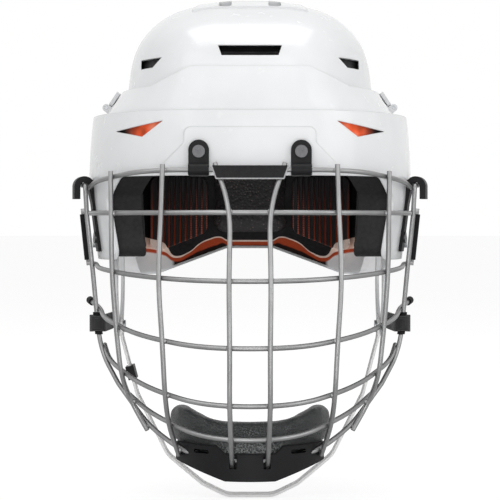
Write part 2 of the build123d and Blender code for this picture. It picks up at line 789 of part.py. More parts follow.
def hook_place(shape):
    """Put a shape drawn round the right corner hook's middle into its place."""
    return Pos(HOOK_PLACE, -HOOK_DEPTH, 0) * Rot(0, 0, -HOOK_YAW) * shape


def screw_along(radius_head, seat, length, rod, direction):
    """Screw with a socket: head outside its seat, shank inward from it."""
    outer = seat + direction * SCREW_HEAD
    head = rod(radius_head, seat, outer)
    shank = rod(SCREW_RADIUS, seat - direction * length, seat)
    socket = rod(SOCKET_RADIUS, outer - direction * SOCKET_DEPTH, outer)
    return head + shank - socket


def hook_rod(radius, near, far):
    """Cylinder along the corner hook's own X at its screw."""
    return rod_x(radius, near, far, 0, -HOOK_SCREW_DROP)


def guard_rod(radius, near, far):
    """Cylinder along X through the right ear guard's screw place."""
    return rod_x(radius, near, far, GUARD_TAB_DEPTH, GUARD_TAB_HEIGHT)


def shell_screws():
    """Four equal screws that hold the forehead clips and the corner hooks."""
    clip = screw_along(SCREW_HEAD_RADIUS, CLIP_SEAT, SCREW_LENGTH, clip_rod, 1)
    hook = hook_place(screw_along(SCREW_HEAD_RADIUS, -HOOK_SCREW_SEAT, SCREW_LENGTH, hook_rod, 1))
    return group([clip, mirrored(clip), hook, mirrored(hook)])


def ear_guard_screws():
    """The two screws that hold the ear guards."""
    screw = screw_along(SCREW_HEAD_RADIUS, GUARD_SEAT, GUARD_SCREW_LENGTH, guard_rod, 1)
    return pair(screw)


def tee_nut(barrel, bore, flange):
    """Nut whose flange follows the inside of the shell and whose barrel fills the wall."""
    plate = (flange & shell_form(WALL + SEAT_GAP)) - shell_form(WALL + SEAT_GAP + NUT_FLANGE)
    sleeve = (barrel & shell_form(NUT_SINK)) - shell_form(WALL + SEAT_GAP + NUT_FLANGE)
    return plate + sleeve - bore


def tee_nuts():
    """Four tee nuts behind the shell screws."""
    bore_radius = SCREW_RADIUS + SCREW_CLEARANCE
    deep = HALF_WIDTH - HEAD_HALF_WIDTH
    clip = tee_nut(
        clip_rod(BARREL_RADIUS, HEAD_FRONT, FRONT_REACH + OVERRUN),
        clip_rod(bore_radius, HEAD_FRONT, FRONT_REACH + OVERRUN),
        clip_rod(NUT_FLANGE_RADIUS, HEAD_FRONT, FRONT_REACH + OVERRUN),
    )
    hook = tee_nut(
        hook_place(hook_rod(BARREL_RADIUS, -deep, 0)),
        hook_place(hook_rod(bore_radius, -deep, 0)),
        hook_place(hook_rod(NUT_FLANGE_RADIUS, -deep, 0)),
    )
    return group([clip, mirrored(clip), hook, mirrored(hook)])


# Forehead clips and corner hooks


def forehead_clip():
    """Right clip: a plate screwed to the brow with a loop round the cage's top wire."""
    ring = WIRE_RADIUS + HINGE_CLEARANCE + LOOP_WALL
    near = CLIP_PLACE - CLIP_WIDTH / 2
    far = CLIP_PLACE + CLIP_WIDTH / 2
    inner = -FRONT_REACH + OVERRUN
    plate = prism_side(rectangle(-CLIP_SEAT, HINGE_HEIGHT - ring, inner, CLIP_TOP), near, far)
    block = prism_side(
        rectangle(-HINGE_FRONT, HINGE_HEIGHT - ring, inner, HINGE_HEIGHT + ring), near, far
    )
    loop = rod_x(ring, near, far, -HINGE_FRONT, HINGE_HEIGHT)
    bore = rod_x(WIRE_RADIUS + HINGE_CLEARANCE, near - OVERRUN, far + OVERRUN, -HINGE_FRONT, HINGE_HEIGHT)
    outline = rectangle(near, HINGE_HEIGHT - ring, far, CLIP_TOP)
    body = (plate + block + loop) & prism_front(outline, -HINGE_FRONT - OVERRUN, inner, CLIP_ROUND)
    body = body - bore - shell_form(-PANEL_RISE - SEAT_GAP)
    return body - clip_rod(SCREW_RADIUS + SCREW_CLEARANCE, HEAD_FRONT, HINGE_FRONT)


def corner_hook():
    """Right cane-shaped hook: its mouth opens downward over the cage's corner leg."""
    outer = HOOK_BORE + HOOK_WALL
    tip = HOOK_HEIGHT - HOOK_LEG
    foot = -ARM_DROP
    outline = [
        Line((outer, HOOK_HEIGHT), (outer, tip)),
        Line((outer, tip), (HOOK_BORE, tip)),
        Line((HOOK_BORE, tip), (HOOK_BORE, HOOK_HEIGHT)),
        ThreePointArc((HOOK_BORE, HOOK_HEIGHT), (0, HOOK_HEIGHT + HOOK_BORE), (-HOOK_BORE, HOOK_HEIGHT)),
        Line((-HOOK_BORE, HOOK_HEIGHT), (-HOOK_BORE - ARM_NECK_LEAN, -ARM_NECK_DROP)),
        Line((-HOOK_BORE - ARM_NECK_LEAN, -ARM_NECK_DROP), (-HOOK_BORE - ARM_LEAN, foot)),
        Line((-HOOK_BORE - ARM_LEAN, foot), (-outer - ARM_LEAN - OVERRUN, foot)),
        Line((-outer - ARM_LEAN - OVERRUN, foot), (-outer, HOOK_HEIGHT)),
        ThreePointArc((-outer, HOOK_HEIGHT), (0, HOOK_HEIGHT + outer), (outer, HOOK_HEIGHT)),
    ]
    near = Plane.XZ.offset(-HOOK_WIDTH / 2) * make_face(outline)
    body = extrude(near, HOOK_WIDTH)
    spot = hook_rod(SCREW_HEAD_RADIUS + SEAT_GAP + SEAT_GAP, -HOOK_SCREW_SEAT, 0)
    hole = hook_rod(SCREW_RADIUS + SCREW_CLEARANCE, -HALF_WIDTH, 0)
    return hook_place(body - spot - hole) - shell_form(-SEAT_GAP)


# Cage


def tangent_crossing(first, second):
    """Where two lines in plan meet; each line is a point and a direction."""
    (ax, ay), (au, av) = first
    (bx, by), (bu, bv) = second
    share = ((bx - ax) * bv - (by - ay) * bu) / (au * bv - av * bu)
    return (ax + share * au, ay + share * av)


def bend_radii(points, limit):
    """For each inner corner, the largest bend that fits its shorter side, or the limit if that is less."""
    radii = []
    for before, corner, after in zip(points, points[1:], points[2:]):
        into = Vector(*corner) - Vector(*before)
        out = Vector(*after) - Vector(*corner)
        turn = math.radians(into.get_angle(out))
        run = min(into.length, out.length) / 2 * BEND_SHARE
        radii.append(min(run / math.tan(turn / 2), limit))
    return radii


def wire_rod(path, radius):
    """Round rod along a path."""
    start = Plane(origin=path @ 0, z_dir=path % 0)
    return sweep(start * Circle(radius), path=path)


def both_halves(half, middle):
    """A path's points from its left end to its right end."""
    left = [(-x, y, z) for x, y, z in reversed(half)]
    return left + middle + half


@functools.lru_cache(maxsize=None)
def row_path(index):
    """Centre line of one cross wire: the corners lie where the tangents at its crossings meet."""
    reach, drop, corner_drop, corner, flat, centre, end_half, end_depth, end_drop = ROW_SHARES[index]
    front = reach * CAGE_FRONT
    middle = centre * CAGE_FRONT
    straight = flat * CAGE_HALF_WIDTH
    nose = front - middle
    corner_half = corner * CAGE_HALF_WIDTH
    cosine = (CORNER_DEPTH - middle) / nose
    side = (corner_half - straight) / math.sqrt(1 - cosine * cosine)

    def height(depth):
        share = (front + depth) / (front - CORNER_DEPTH)
        return HINGE_HEIGHT - CAGE_DROP * (drop + (corner_drop - drop) * share)

    def tangent(place):
        sine = (place - straight) / side
        fall = math.sqrt(1 - sine * sine)
        return ((place, -middle - nose * fall), (side * fall, nose * sine))

    places = [share[index] * CAGE_HALF_WIDTH for share in UPRIGHT_SHARES]
    lines = [tangent(place) for place in places if place > straight]
    if straight:
        lines.insert(0, ((straight, -front), (1, 0)))
        middle_points = []
    else:
        top = tangent_crossing(lines[0], ((0, -front), (0, 1)))
        middle_points = [(top[0], top[1], height(top[1]))]
    if end_depth * CAGE_FRONT < CORNER_DEPTH + WIRE_TAIL:
        lines.append(tangent(corner_half))
    half = []
    for first, second in zip(lines, lines[1:]):
        x, y = tangent_crossing(first, second)
        half.append((x, y, height(y)))
    runs_back = end_depth * CAGE_FRONT < CORNER_DEPTH - WIRE_TAIL
    if runs_back:
        half.append((corner_half, -CORNER_DEPTH, height(-CORNER_DEPTH)))
    half.append((end_half * CAGE_HALF_WIDTH, -end_depth * CAGE_FRONT, HINGE_HEIGHT - end_drop * CAGE_DROP))
    points = both_halves(half, middle_points)
    radii = bend_radii(points, CAGE_FRONT)
    if straight:
        run = half[0][0] - HINGE_STRAIGHT_HALF
        turn = math.atan2(half[1][1] + front, half[1][0] - half[0][0])
        inner = len(half) - 1
        radii[inner - 1] = run / math.tan(turn / 2)
        radii[inner] = radii[inner - 1]
    if runs_back:
        radii[0] = OUTER_BEND
        radii[-1] = OUTER_BEND
    return FilletPolyline(*points, radius=radii)


@functools.lru_cache(maxsize=None)
def rim_path():
    """Centre line of the rim wire: across the chin, up both corners and back into the hooks."""
    half = [
        (w * CAGE_HALF_WIDTH, -f * CAGE_FRONT, HINGE_HEIGHT - d * CAGE_DROP)
        for w, f, d in RIM_SHARES
    ]
    half.append((HOOK_PLACE + LEG_RUN_SIDE, -HOOK_DEPTH + LEG_RUN_BACK, half[-1][2]))
    points = both_halves(half, [])
    radii = bend_radii(points, OUTER_BEND)
    radii[0] = LEG_BEND
    radii[-1] = LEG_BEND
    radii[LOW_CORNER] = INNER_BEND
    radii[-1 - LOW_CORNER] = INNER_BEND
    return FilletPolyline(*points, radius=radii)


def crossing(path, place):
    """Point and direction of a path where it passes a place in X."""
    low = 0.5
    high = 1.0
    for i in range(HALVINGS):
        middle = (low + high) / 2
        if (path @ middle).X < place:
            low = middle
        else:
            high = middle
    return path @ low, path % low


@functools.lru_cache(maxsize=None)
def upright_path(index):
    """Centre line of one right upright, laid over the cross wires and the rim."""
    paths = [row_path(i) for i in range(len(ROW_SHARES))] + [rim_path()]
    places = [share * CAGE_HALF_WIDTH for share in UPRIGHT_SHARES[index]]
    marks = [crossing(path, place) for path, place in zip(paths, places)]
    centre = Vector(0, -CORNER_DEPTH, HINGE_HEIGHT - CAGE_DROP / 2)
    last = len(marks) - 1
    points = []
    for i, (point, along) in enumerate(marks):
        run = marks[min(i + 1, last)][0] - marks[max(i - 1, 0)][0]
        out = along.cross(run).normalized()
        if out.dot(point - centre) < 0:
            out = out * -1
        points.append(point + out * (WIRE_RADIUS + WIRE_RADIUS - WELD_SINK))
    points[0] = points[0] + (points[0] - points[1]).normalized() * WIRE_TAIL
    points[-1] = points[-1] + (points[-1] - points[-2]).normalized() * WIRE_TAIL
    return path_through(points)


def path_through(points):
    """Smooth path whose bends pass through the given points; each corner stands off by its bend's rise."""
    corners = list(points)
    for i in range(ROUNDS):
        moved = list(corners)
        for k in range(1, len(points) - 1):
            into = corners[k] - corners[k - 1]
            out = corners[k + 1] - corners[k]
            half_turn = math.radians(into.get_angle(out)) / 2
            run = min(into.length, out.length) / 2 * BEND_SHARE
            radius = min(run / math.tan(half_turn), LONG_BEND)
            rise = radius * (1 / math.cos(half_turn) - 1)
            outward = (into.normalized() - out.normalized()).normalized()
            moved[k] = points[k] + outward * rise
        corners = moved
    corners = [(point.X, point.Y, point.Z) for point in corners]
    return FilletPolyline(*corners, radius=bend_radii(corners, LONG_BEND))


def cage_row(index):
    """One cross wire."""
    return wire_rod(row_path(index), WIRE_RADIUS)


def cage_rim():
    """The rim wire."""
    return wire_rod(rim_path(), WIRE_RADIUS)


def upright_pair(index):
    """One upright on each side."""
    return pair(wire_rod(upright_path(index), WIRE_RADIUS))


def upright_room(index):
    """Room round one pair of uprights, for the pieces that sit on them."""
    return pair(wire_rod(upright_path(index), WIRE_RADIUS + CHANNEL_GAP))


def post_ends():
    """Top and foot of the right rear post's centre line."""
    top = Vector(POST_HALF_WIDTH, -POST_DEPTH, HINGE_HEIGHT - ROW_SHARES[1][8] * CAGE_DROP)
    foot = Vector(POST_FOOT_HALF_WIDTH, -POST_DEPTH, HINGE_HEIGHT - ROW_SHARES[2][8] * CAGE_DROP)
    return top, foot


def tube(start, end, inner, outer):
    """Tube between two points."""
    frame = Plane(origin=start, z_dir=end - start)
    length = (end - start).length
    body = Pos(0, 0, length / 2) * Cylinder(outer, length)
    if inner:
        body = body - Pos(0, 0, length / 2) * Cylinder(inner, length)
    return frame * body


def rear_posts():
    """The two posts that join the second and third cross wires behind the hooks."""
    top, foot = post_ends()
    along = (foot - top).normalized() * WIRE_RADIUS
    return pair(tube(top - along, foot + along, 0, WIRE_RADIUS))


def post_sleeves():
    """Black sleeves on the rear posts."""
    top, foot = post_ends()
    along = (foot - top).normalized() * SLEEVE_MARGIN
    return pair(tube(top + along, foot - along, SLEEVE_BORE, SLEEVE_BORE + SLEEVE_WALL))


def corner_sleeves():
    """Black sleeves on the rim where the cage straps turn."""
    low = CAGE_STRAP_HEIGHT - CORNER_SLEEVE_LENGTH / 2
    high = CAGE_STRAP_HEIGHT + CORNER_SLEEVE_LENGTH / 2
    trim = prism_front(rectangle(0, low, HALF_WIDTH, high), -CAGE_FRONT, 0)
    outer = wire_rod(rim_path(), SLEEVE_BORE + SLEEVE_WALL) & trim
    return pair(outer - wire_rod(rim_path(), SLEEVE_BORE))


def wire_caps():
    """Black caps on the ends of the fourth cross wire."""
    path = row_path(3)
    end = path @ 1
    along = path % 1
    cap = tube(end - along * (CAP_LENGTH - CAP_WALL), end + along * CAP_WALL, 0, SLEEVE_BORE + SLEEVE_WALL)
    bore = tube(end - along * CAP_LENGTH, end + along * SLEEVE_GAP, 0, SLEEVE_BORE)
    return pair(cap - bore)


def nameplate():
    """Bare plate that leans along the two inner uprights, snapped on the top wire by two clips."""
    top = HINGE_HEIGHT + PLATE_LIFT
    low = top - PLATE_HEIGHT
    outline = [
        (-PLATE_FOOT_HALF, low),
        (PLATE_FOOT_HALF, low),
        (PLATE_TOP_HALF, top),
        (-PLATE_TOP_HALF, top),
    ]
    back = -HINGE_FRONT - PLATE_BACK
    slab = [
        (back, top),
        (back - PLATE_LEAN, low),
        (back - PLATE_LEAN - PLATE_THICKNESS, low),
        (back - PLATE_THICKNESS, top),
    ]
    plate = prism_front(outline, -CAGE_FRONT, -HINGE_FRONT, PLATE_ROUND)
    plate = plate & prism_side(slab, -PLATE_TOP_HALF, PLATE_TOP_HALF)
    reach = SLEEVE_BORE + SLEEVE_WALL
    middle = back - PLATE_THICKNESS / 2
    slope = PLATE_LEAN / PLATE_HEIGHT
    grip = [
        (middle - (top - HINGE_HEIGHT - reach) * slope, HINGE_HEIGHT + reach),
        (middle - (top - HINGE_HEIGHT + reach) * slope, HINGE_HEIGHT - reach),
        (-HINGE_FRONT + WIRE_RADIUS, HINGE_HEIGHT - reach),
        (-HINGE_FRONT + WIRE_RADIUS, HINGE_HEIGHT + reach),
    ]
    for side in SIDES:
        near = side * PLATE_CLIP_PLACE - PLATE_CLIP_WIDTH / 2
        plate = plate + prism_side(grip, near, near + PLATE_CLIP_WIDTH)
    bore = rod_x(WIRE_RADIUS + SLEEVE_GAP, -PLATE_TOP_HALF, PLATE_TOP_HALF, -HINGE_FRONT, HINGE_HEIGHT)
    return plate - bore - upright_room(0)


# Chin cup


def plan_ring(half_width, front, wall, low, high):
    """Ring in plan: the front half of an ellipse about the cup's centre, with a wall of one thickness."""
    place = Pos(0, -CUP_DEPTH_CENTRE, low)
    nose = front - CUP_DEPTH_CENTRE
    outer = extrude(place * Ellipse(half_width, nose), high - low)
    inner = extrude(place * Ellipse(half_width - wall, nose - wall), high - low)
    ahead = prism_top(
        rectangle(-HALF_WIDTH, -CAGE_FRONT, HALF_WIDTH, -CUP_DEPTH_CENTRE - CUP_ROUND), low, high
    )
    return (outer - inner) & ahead


def cup_outline(grow, top):
    """Front outline of the cup's cushion, grown by a gap; with a top height given, open to that height."""
    wing = CUP_WING_TOP
    half = CUP_HALF_WIDTH + grow
    low_flat = HOLDER_FLAT_HALF + grow
    low = [
        (-half, CUP_END_LOW - grow),
        (-low_flat, CUP_LOW - grow),
        (low_flat, CUP_LOW - grow),
        (half, CUP_END_LOW - grow),
    ]
    if top:
        return low + [(half, top), (-half, top)]
    return low + [
        (half, wing - CUP_ROUND),
        (CUP_WING_PLACE, wing),
        (CUP_WING_PLACE / 2, CUP_DIP_TOP),
        (-CUP_WING_PLACE / 2, CUP_DIP_TOP),
        (-CUP_WING_PLACE, wing),
        (-half, wing - CUP_ROUND),
    ]


def chin_cup_foam():
    """Cushion of the chin cup: low in the middle, with a wing on each side."""
    ring = plan_ring(CUP_HALF_WIDTH, CUP_FRONT, CUP_THICKNESS, CUP_LOW, CUP_WING_TOP)
    body = ring & prism_front(cup_outline(0, 0), -CAGE_FRONT, -CUP_DEPTH_CENTRE, CUP_ROUND)
    return fillet(body.edges().filter_by(lambda edge: edge.length > CUP_ROUND), CUP_EDGE)


def chin_cup_holder():
    """Tray of the chin cup, clipped round the bottom of the rim wire."""
    half = HOLDER_HALF_WIDTH
    outline = [
        (-half, HOLDER_END_LOW),
        (-HOLDER_FLAT_HALF, HOLDER_LOW),
        (HOLDER_FLAT_HALF, HOLDER_LOW),
        (half, HOLDER_END_LOW),
        (half, HOLDER_END_TOP),
        (HOLDER_SLOT_PLACE - HOLDER_SLOT_WIDTH, HOLDER_END_TOP),
        (HOLDER_FLAT_HALF, HOLDER_TOP),
        (-HOLDER_FLAT_HALF, HOLDER_TOP),
        (HOLDER_SLOT_WIDTH - HOLDER_SLOT_PLACE, HOLDER_END_TOP),
        (-half, HOLDER_END_TOP),
    ]
    ring = plan_ring(HOLDER_ELLIPSE_HALF, HOLDER_FRONT, HOLDER_THICKNESS, HOLDER_LOW, HOLDER_END_TOP)
    body = ring & prism_front(outline, -CAGE_FRONT, -CUP_DEPTH_CENTRE, HOLDER_ROUND)
    room = plan_ring(
        CUP_HALF_WIDTH + SEAT_GAP,
        CUP_FRONT + SEAT_GAP,
        CUP_THICKNESS + SEAT_GAP + SEAT_GAP,
        HOLDER_LOW,
        CUP_WING_TOP,
    )
    room = room & prism_front(cup_outline(SEAT_GAP, CUP_WING_TOP), -CAGE_FRONT, -CUP_DEPTH_CENTRE)
    body = body - room - wire_rod(rim_path(), WIRE_RADIUS + CHANNEL_GAP) - upright_room(0) - upright_room(1)
    for side in SIDES:
        slot = prism_front(
            rectangle(
                side * HOLDER_SLOT_PLACE - HOLDER_SLOT_WIDTH / 2,
                HOLDER_SLOT_LOW,
                side * HOLDER_SLOT_PLACE + HOLDER_SLOT_WIDTH / 2,
                HOLDER_SLOT_LOW + HOLDER_SLOT_HEIGHT,
            ),
            -CAGE_FRONT,
            -CUP_DEPTH_CENTRE,
            HOLDER_ROUND,
        )
        place = side * UPRIGHT_SHARES[0][6] * CAGE_HALF_WIDTH
        notch = prism_front(
            rectangle(place - NOTCH_HALF, NOTCH_LOW, place + NOTCH_HALF, HOLDER_TOP + OVERRUN),
            -CAGE_FRONT,
            -NOTCH_DEPTH,
        )
        body = body - slot - notch
    return body


# Ear guards


def ear_guard():
    """Right ear guard: a flat ring with a tab and a boss screwed to the shell."""
    place = Plane.YZ.offset(GUARD_PLACE)
    centre = Pos(GUARD_DEPTH, GUARD_HEIGHT)
    ring = centre * (
        Ellipse(GUARD_HALF_LENGTH, GUARD_HALF_HEIGHT)
        - Ellipse(GUARD_HALF_LENGTH - GUARD_BAND, GUARD_HALF_HEIGHT - GUARD_BAND)
    )
    face = ring + Pos(GUARD_TAB_DEPTH, GUARD_TAB_HEIGHT) * Circle(GUARD_TAB_RADIUS)
    plate = extrude(place * face, GUARD_THICKNESS)
    boss = guard_rod(GUARD_BOSS_RADIUS, GUARD_PLACE, HALF_WIDTH) & shell_form(WALL + SEAT_GAP)
    body = plate + boss - guard_rod(SCREW_RADIUS + SCREW_CLEARANCE, GUARD_PLACE - OVERRUN, HALF_WIDTH)
    pivot = strap_rod(RIVET_RADIUS + HINGE_CLEARANCE, GUARD_PLACE - OVERRUN, HALF_WIDTH)
    stud = snap_rod(SNAP_STEM_RADIUS + HINGE_CLEARANCE, GUARD_PLACE - OVERRUN, HALF_WIDTH)
    return body - pivot - stud


def snap_rod(radius, near, far):
    """Cylinder along X at the right snap."""
    return rod_x(radius, near, far, SNAP_DEPTH, CAGE_STRAP_HEIGHT)


def strap_rod(radius, near, far):
    """Cylinder along X at the right end of the chin strap."""
    return rod_x(radius, near, far, STRAP_PIVOT_DEPTH, STRAP_PIVOT_HEIGHT)


def snap_posts():
    """Studs on the ear guards for the cage straps' snap caps."""
    outer = GUARD_PLACE + GUARD_THICKNESS
    stem = snap_rod(SNAP_STEM_RADIUS, GUARD_PLACE, outer)
    return pair(stem + snap_rod(SNAP_POST_RADIUS, outer, outer + SNAP_POST_LENGTH))


# Straps


def chin_strap_path():
    """Centre line of the chin strap, from its left end to its right end."""
    place = GUARD_PLACE - STRAP_GAP - STRAP_THICKNESS / 2
    half = [
        (place * w, STRAP_PIVOT_DEPTH, STRAP_PIVOT_HEIGHT - STRAP_DROP * d)
        for w, d in reversed(CHIN_STRAP_SHARES)
    ]
    half.append((place, STRAP_PIVOT_DEPTH, STRAP_PIVOT_HEIGHT + STRAP_WIDTH / 2))
    points = both_halves(half, [])
    return FilletPolyline(*points, radius=bend_radii(points, STRAP_BEND))


def band(path, width, thickness):
    """Flat band along a path that lies in one plane across Y; its width runs along Y."""
    start = Plane(origin=path @ 0, x_dir=(0, 1, 0), z_dir=path % 0)
    return sweep(start * Rectangle(width, thickness), path=path)


def chin_strap():
    """Webbing in a U under the chin, with rounded ends on its two rivets."""
    near = STRAP_PIVOT_DEPTH - STRAP_WIDTH / 2
    far = STRAP_PIVOT_DEPTH + STRAP_WIDTH / 2
    low = STRAP_PIVOT_HEIGHT - STRAP_DROP - OVERRUN
    outline = rectangle(near, low, far, STRAP_PIVOT_HEIGHT + STRAP_WIDTH / 2)
    trim = prism_side(outline, -HALF_WIDTH, HALF_WIDTH, STRAP_WIDTH * END_ROUND_SHARE)
    body = band(chin_strap_path(), STRAP_WIDTH, STRAP_THICKNESS) & trim
    return body - strap_rod(RIVET_RADIUS + HINGE_CLEARANCE, -HALF_WIDTH, HALF_WIDTH)


def strap_rivets():
    """Rivets on which the chin strap swings."""
    outer = GUARD_PLACE + GUARD_THICKNESS
    inner = GUARD_PLACE - STRAP_GAP - STRAP_THICKNESS - STRAP_GAP
    shank = strap_rod(RIVET_RADIUS, inner, outer)
    head = strap_rod(RIVET_HEAD_RADIUS, outer, outer + RIVET_HEAD)
    foot = strap_rod(RIVET_HEAD_RADIUS, inner - RIVET_HEAD, inner)
    return pair(shank + head + foot)


def strap_keeper():
    """Black keeper on the left side of the chin strap."""
    path = chin_strap_path()
    frame = Plane(origin=path @ KEEPER_PLACE_SHARE, x_dir=(0, 1, 0), z_dir=path % KEEPER_PLACE_SHARE)
    margin = KEEPER_MARGIN + KEEPER_MARGIN
    block = Box(STRAP_WIDTH + margin, STRAP_THICKNESS + margin, KEEPER_LENGTH)
    block = fillet(block.edges().filter_by(Axis.Z), KEEPER_MARGIN * EDGE_SHARE)
    gap = SEAT_GAP + SEAT_GAP
    return frame * (block - Box(STRAP_WIDTH + gap, STRAP_THICKNESS + gap, KEEPER_LENGTH))


def strap_turn():
    """Point of the right corner wire round which the cage strap turns."""
    path = rim_path()
    low = 0.5
    high = 1.0
    for i in range(HALVINGS):
        middle = (low + high) / 2
        if (path @ middle).Z < CAGE_STRAP_HEIGHT:
            low = middle
        else:
            high = middle
    return path @ low


def cage_strap():
    """Right cage strap: a loop round the corner wire and a tail that snaps on the ear guard."""
    turn = strap_turn()
    inner = GUARD_PLACE + GUARD_THICKNESS + SNAP_POST_LENGTH + STRAP_GAP
    radius = LOOP_BORE + CAGE_STRAP_THICKNESS
    low = CAGE_STRAP_HEIGHT - CAGE_STRAP_WIDTH / 2
    high = CAGE_STRAP_HEIGHT + CAGE_STRAP_WIDTH / 2
    rear = SNAP_DEPTH + SNAP_RADIUS + KEEPER_MARGIN
    flat = SNAP_DEPTH - SNAP_RADIUS - KEEPER_MARGIN
    tail = [
        (turn.X - radius, turn.Y),
        (inner, flat),
        (inner, rear),
        (inner + CAGE_STRAP_THICKNESS, rear),
        (inner + CAGE_STRAP_THICKNESS, flat),
        (turn.X - LOOP_BORE + CAGE_STRAP_THICKNESS / 2, turn.Y + LOOP_BORE),
    ]
    loop = Pos(turn.X, turn.Y, CAGE_STRAP_HEIGHT) * Cylinder(radius, CAGE_STRAP_WIDTH)
    bore = Pos(turn.X, turn.Y, CAGE_STRAP_HEIGHT) * Cylinder(LOOP_BORE, CAGE_STRAP_WIDTH)
    body = loop + prism_top(tail, low, high) - bore
    outline = rectangle(turn.Y - radius, low, rear, high)
    trim = prism_side(outline, GUARD_PLACE, HALF_WIDTH + OVERRUN, CAGE_STRAP_WIDTH / 3)
    stem = snap_rod(SNAP_STEM_RADIUS + HINGE_CLEARANCE, GUARD_PLACE, HALF_WIDTH)
    return (body & trim) - stem


def snap_cap():
    """Right snap cap, riveted through the cage strap."""
    inner = GUARD_PLACE + GUARD_THICKNESS + SNAP_POST_LENGTH + STRAP_GAP
    outer = inner + CAGE_STRAP_THICKNESS
    return snap_rod(SNAP_STEM_RADIUS, inner, outer) + snap_rod(SNAP_RADIUS, outer, outer + SNAP_RISE)


# Size latches


def latch_place(shape):
    """Put a shape drawn round the right latch's pin into its place on the shell's slope."""
    return Pos(LATCH_PLACE, LATCH_DEPTH, LATCH_HEIGHT) * Rot(0, -LATCH_TILT, 0) * shape


def latch_box(low_x, low_z, high_x, high_z, half):
    """Box of the latch in its own axes, centred along Y."""
    return prism_front(rectangle(low_x, low_z, high_x, high_z), -half, half)


def latch_base():
    """Right latch base: a foot on the shell with two eyes for the pin."""
    eye = LATCH_PIN_RADIUS + LATCH_EYE_WALL
    half = LATCH_LENGTH / 2
    top = -eye - LATCH_GAP
    foot = latch_box(top - LATCH_BASE - OVERRUN, -eye - LATCH_BASE, top, LATCH_BASE_REACH, half)
    lugs = latch_box(top, -eye, 0, eye, half) - latch_box(top, -eye, 0, eye, half - LATCH_LUG)
    eyes = rod_y(eye, -half, half, 0, 0) - rod_y(eye, LATCH_LUG - half, half - LATCH_LUG, 0, 0)
    bore = rod_y(LATCH_PIN_RADIUS + HINGE_CLEARANCE, -half, half, 0, 0)
    return latch_place(foot + lugs + eyes - bore) - shell_form(-SEAT_GAP)


def latch_lever():
    """Right latch lever: a plate on the pin with a tooth that reaches through the shell's window."""
    eye = LATCH_PIN_RADIUS + LATCH_EYE_WALL
    half = LATCH_LENGTH / 2
    inner_half = half - LATCH_LUG - LATCH_GAP
    knuckle = rod_y(eye, -inner_half, inner_half, 0, 0)
    neck = latch_box(-eye, 0, LATCH_THICKNESS - eye, eye + LATCH_GAP + LATCH_GAP, inner_half)
    plate = latch_box(-eye, eye + LATCH_GAP, LATCH_THICKNESS - eye, LATCH_REACH, half)
    plate = fillet(plate.edges().filter_by(Axis.X), LATCH_PIN_RADIUS)
    tooth = latch_box(-LATCH_TOOTH, LATCH_TOOTH_LOW, -eye, LATCH_TOOTH_LOW + LATCH_TOOTH_HEIGHT, LATCH_LUG)
    bore = rod_y(LATCH_PIN_RADIUS + HINGE_CLEARANCE, -half, half, 0, 0)
    return latch_place(knuckle + neck + plate + tooth - bore)


def latch_window():
    """Opening in the front shell for the right latch's tooth."""
    low = LATCH_TOOTH_LOW - LATCH_GAP - LATCH_GAP
    high = LATCH_TOOTH_LOW + LATCH_TOOTH_HEIGHT + LATCH_SWING
    return latch_place(latch_box(-LATCH_REACH, low, 0, high, LATCH_LUG + LATCH_GAP + LATCH_GAP))


def latch_pins():
    """Pins of the two latches."""
    half = LATCH_LENGTH / 2
    return pair(latch_place(rod_y(LATCH_PIN_RADIUS, -half, half, 0, 0)))


def write(name, shape):
    """Write one node to its file."""
    solids = [*shape.solids()]
    node = Compound(children=solids) if len(solids) > 1 else solids[0]
    export_step(node, "parts/" + name + ".step")


def main():
    """Build every node and write it."""
    write("front_shell", front_shell())
    write("rear_shell", rear_shell())
    write("front_liner", front_liner())
    write("rear_liner", rear_liner())
    write("forehead_pad", forehead_pad())
    write("front_crown_pad", crown_pad(-FRONT_CROWN_PAD_FAR, -FRONT_CROWN_PAD_NEAR))
    write("rear_crown_pad", crown_pad(REAR_CROWN_PAD_NEAR, REAR_CROWN_PAD_FAR))
    write("rear_centre_pad", rear_centre_pad())
    write("shell_screws", shell_screws())
    write("tee_nuts", tee_nuts())
    write("ear_guard_screws", ear_guard_screws())
    write("snap_posts", snap_posts())
    write("strap_rivets", strap_rivets())
    write("latch_pins", latch_pins())
    two_sided = {
        "temple_pad": temple_pad,
        "occipital_pad": occipital_pad,
        "forehead_clip": forehead_clip,
        "corner_hook": corner_hook,
        "ear_guard": ear_guard,
        "cage_strap": cage_strap,
        "snap_cap": snap_cap,
        "latch_base": latch_base,
        "latch_lever": latch_lever,
    }
    for name, maker in two_sided.items():
        shape = maker()
        write(name + "_right", shape)
        write(name + "_left", mirrored(shape))
    for i in range(len(ROW_SHARES)):
        write("cage_row_" + str(i + 1), cage_row(i))
    write("cage_rim", cage_rim())
    for i, name in enumerate(("inner", "middle", "outer")):
        write("cage_uprights_" + name, upright_pair(i))
    write("rear_posts", rear_posts())
    write("post_sleeves", post_sleeves())
    write("corner_sleeves", corner_sleeves())
    write("wire_caps", wire_caps())
    write("nameplate", nameplate())
    write("chin_cup_foam", chin_cup_foam())
    write("chin_cup_holder", chin_cup_holder())
    write("chin_strap", chin_strap())
    write("strap_keeper", strap_keeper())


if __name__ == "__main__":
    main()
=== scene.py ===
import math

import bmesh
import bpy
from mathutils import Matrix, Vector
from mathutils.bvhtree import BVHTree


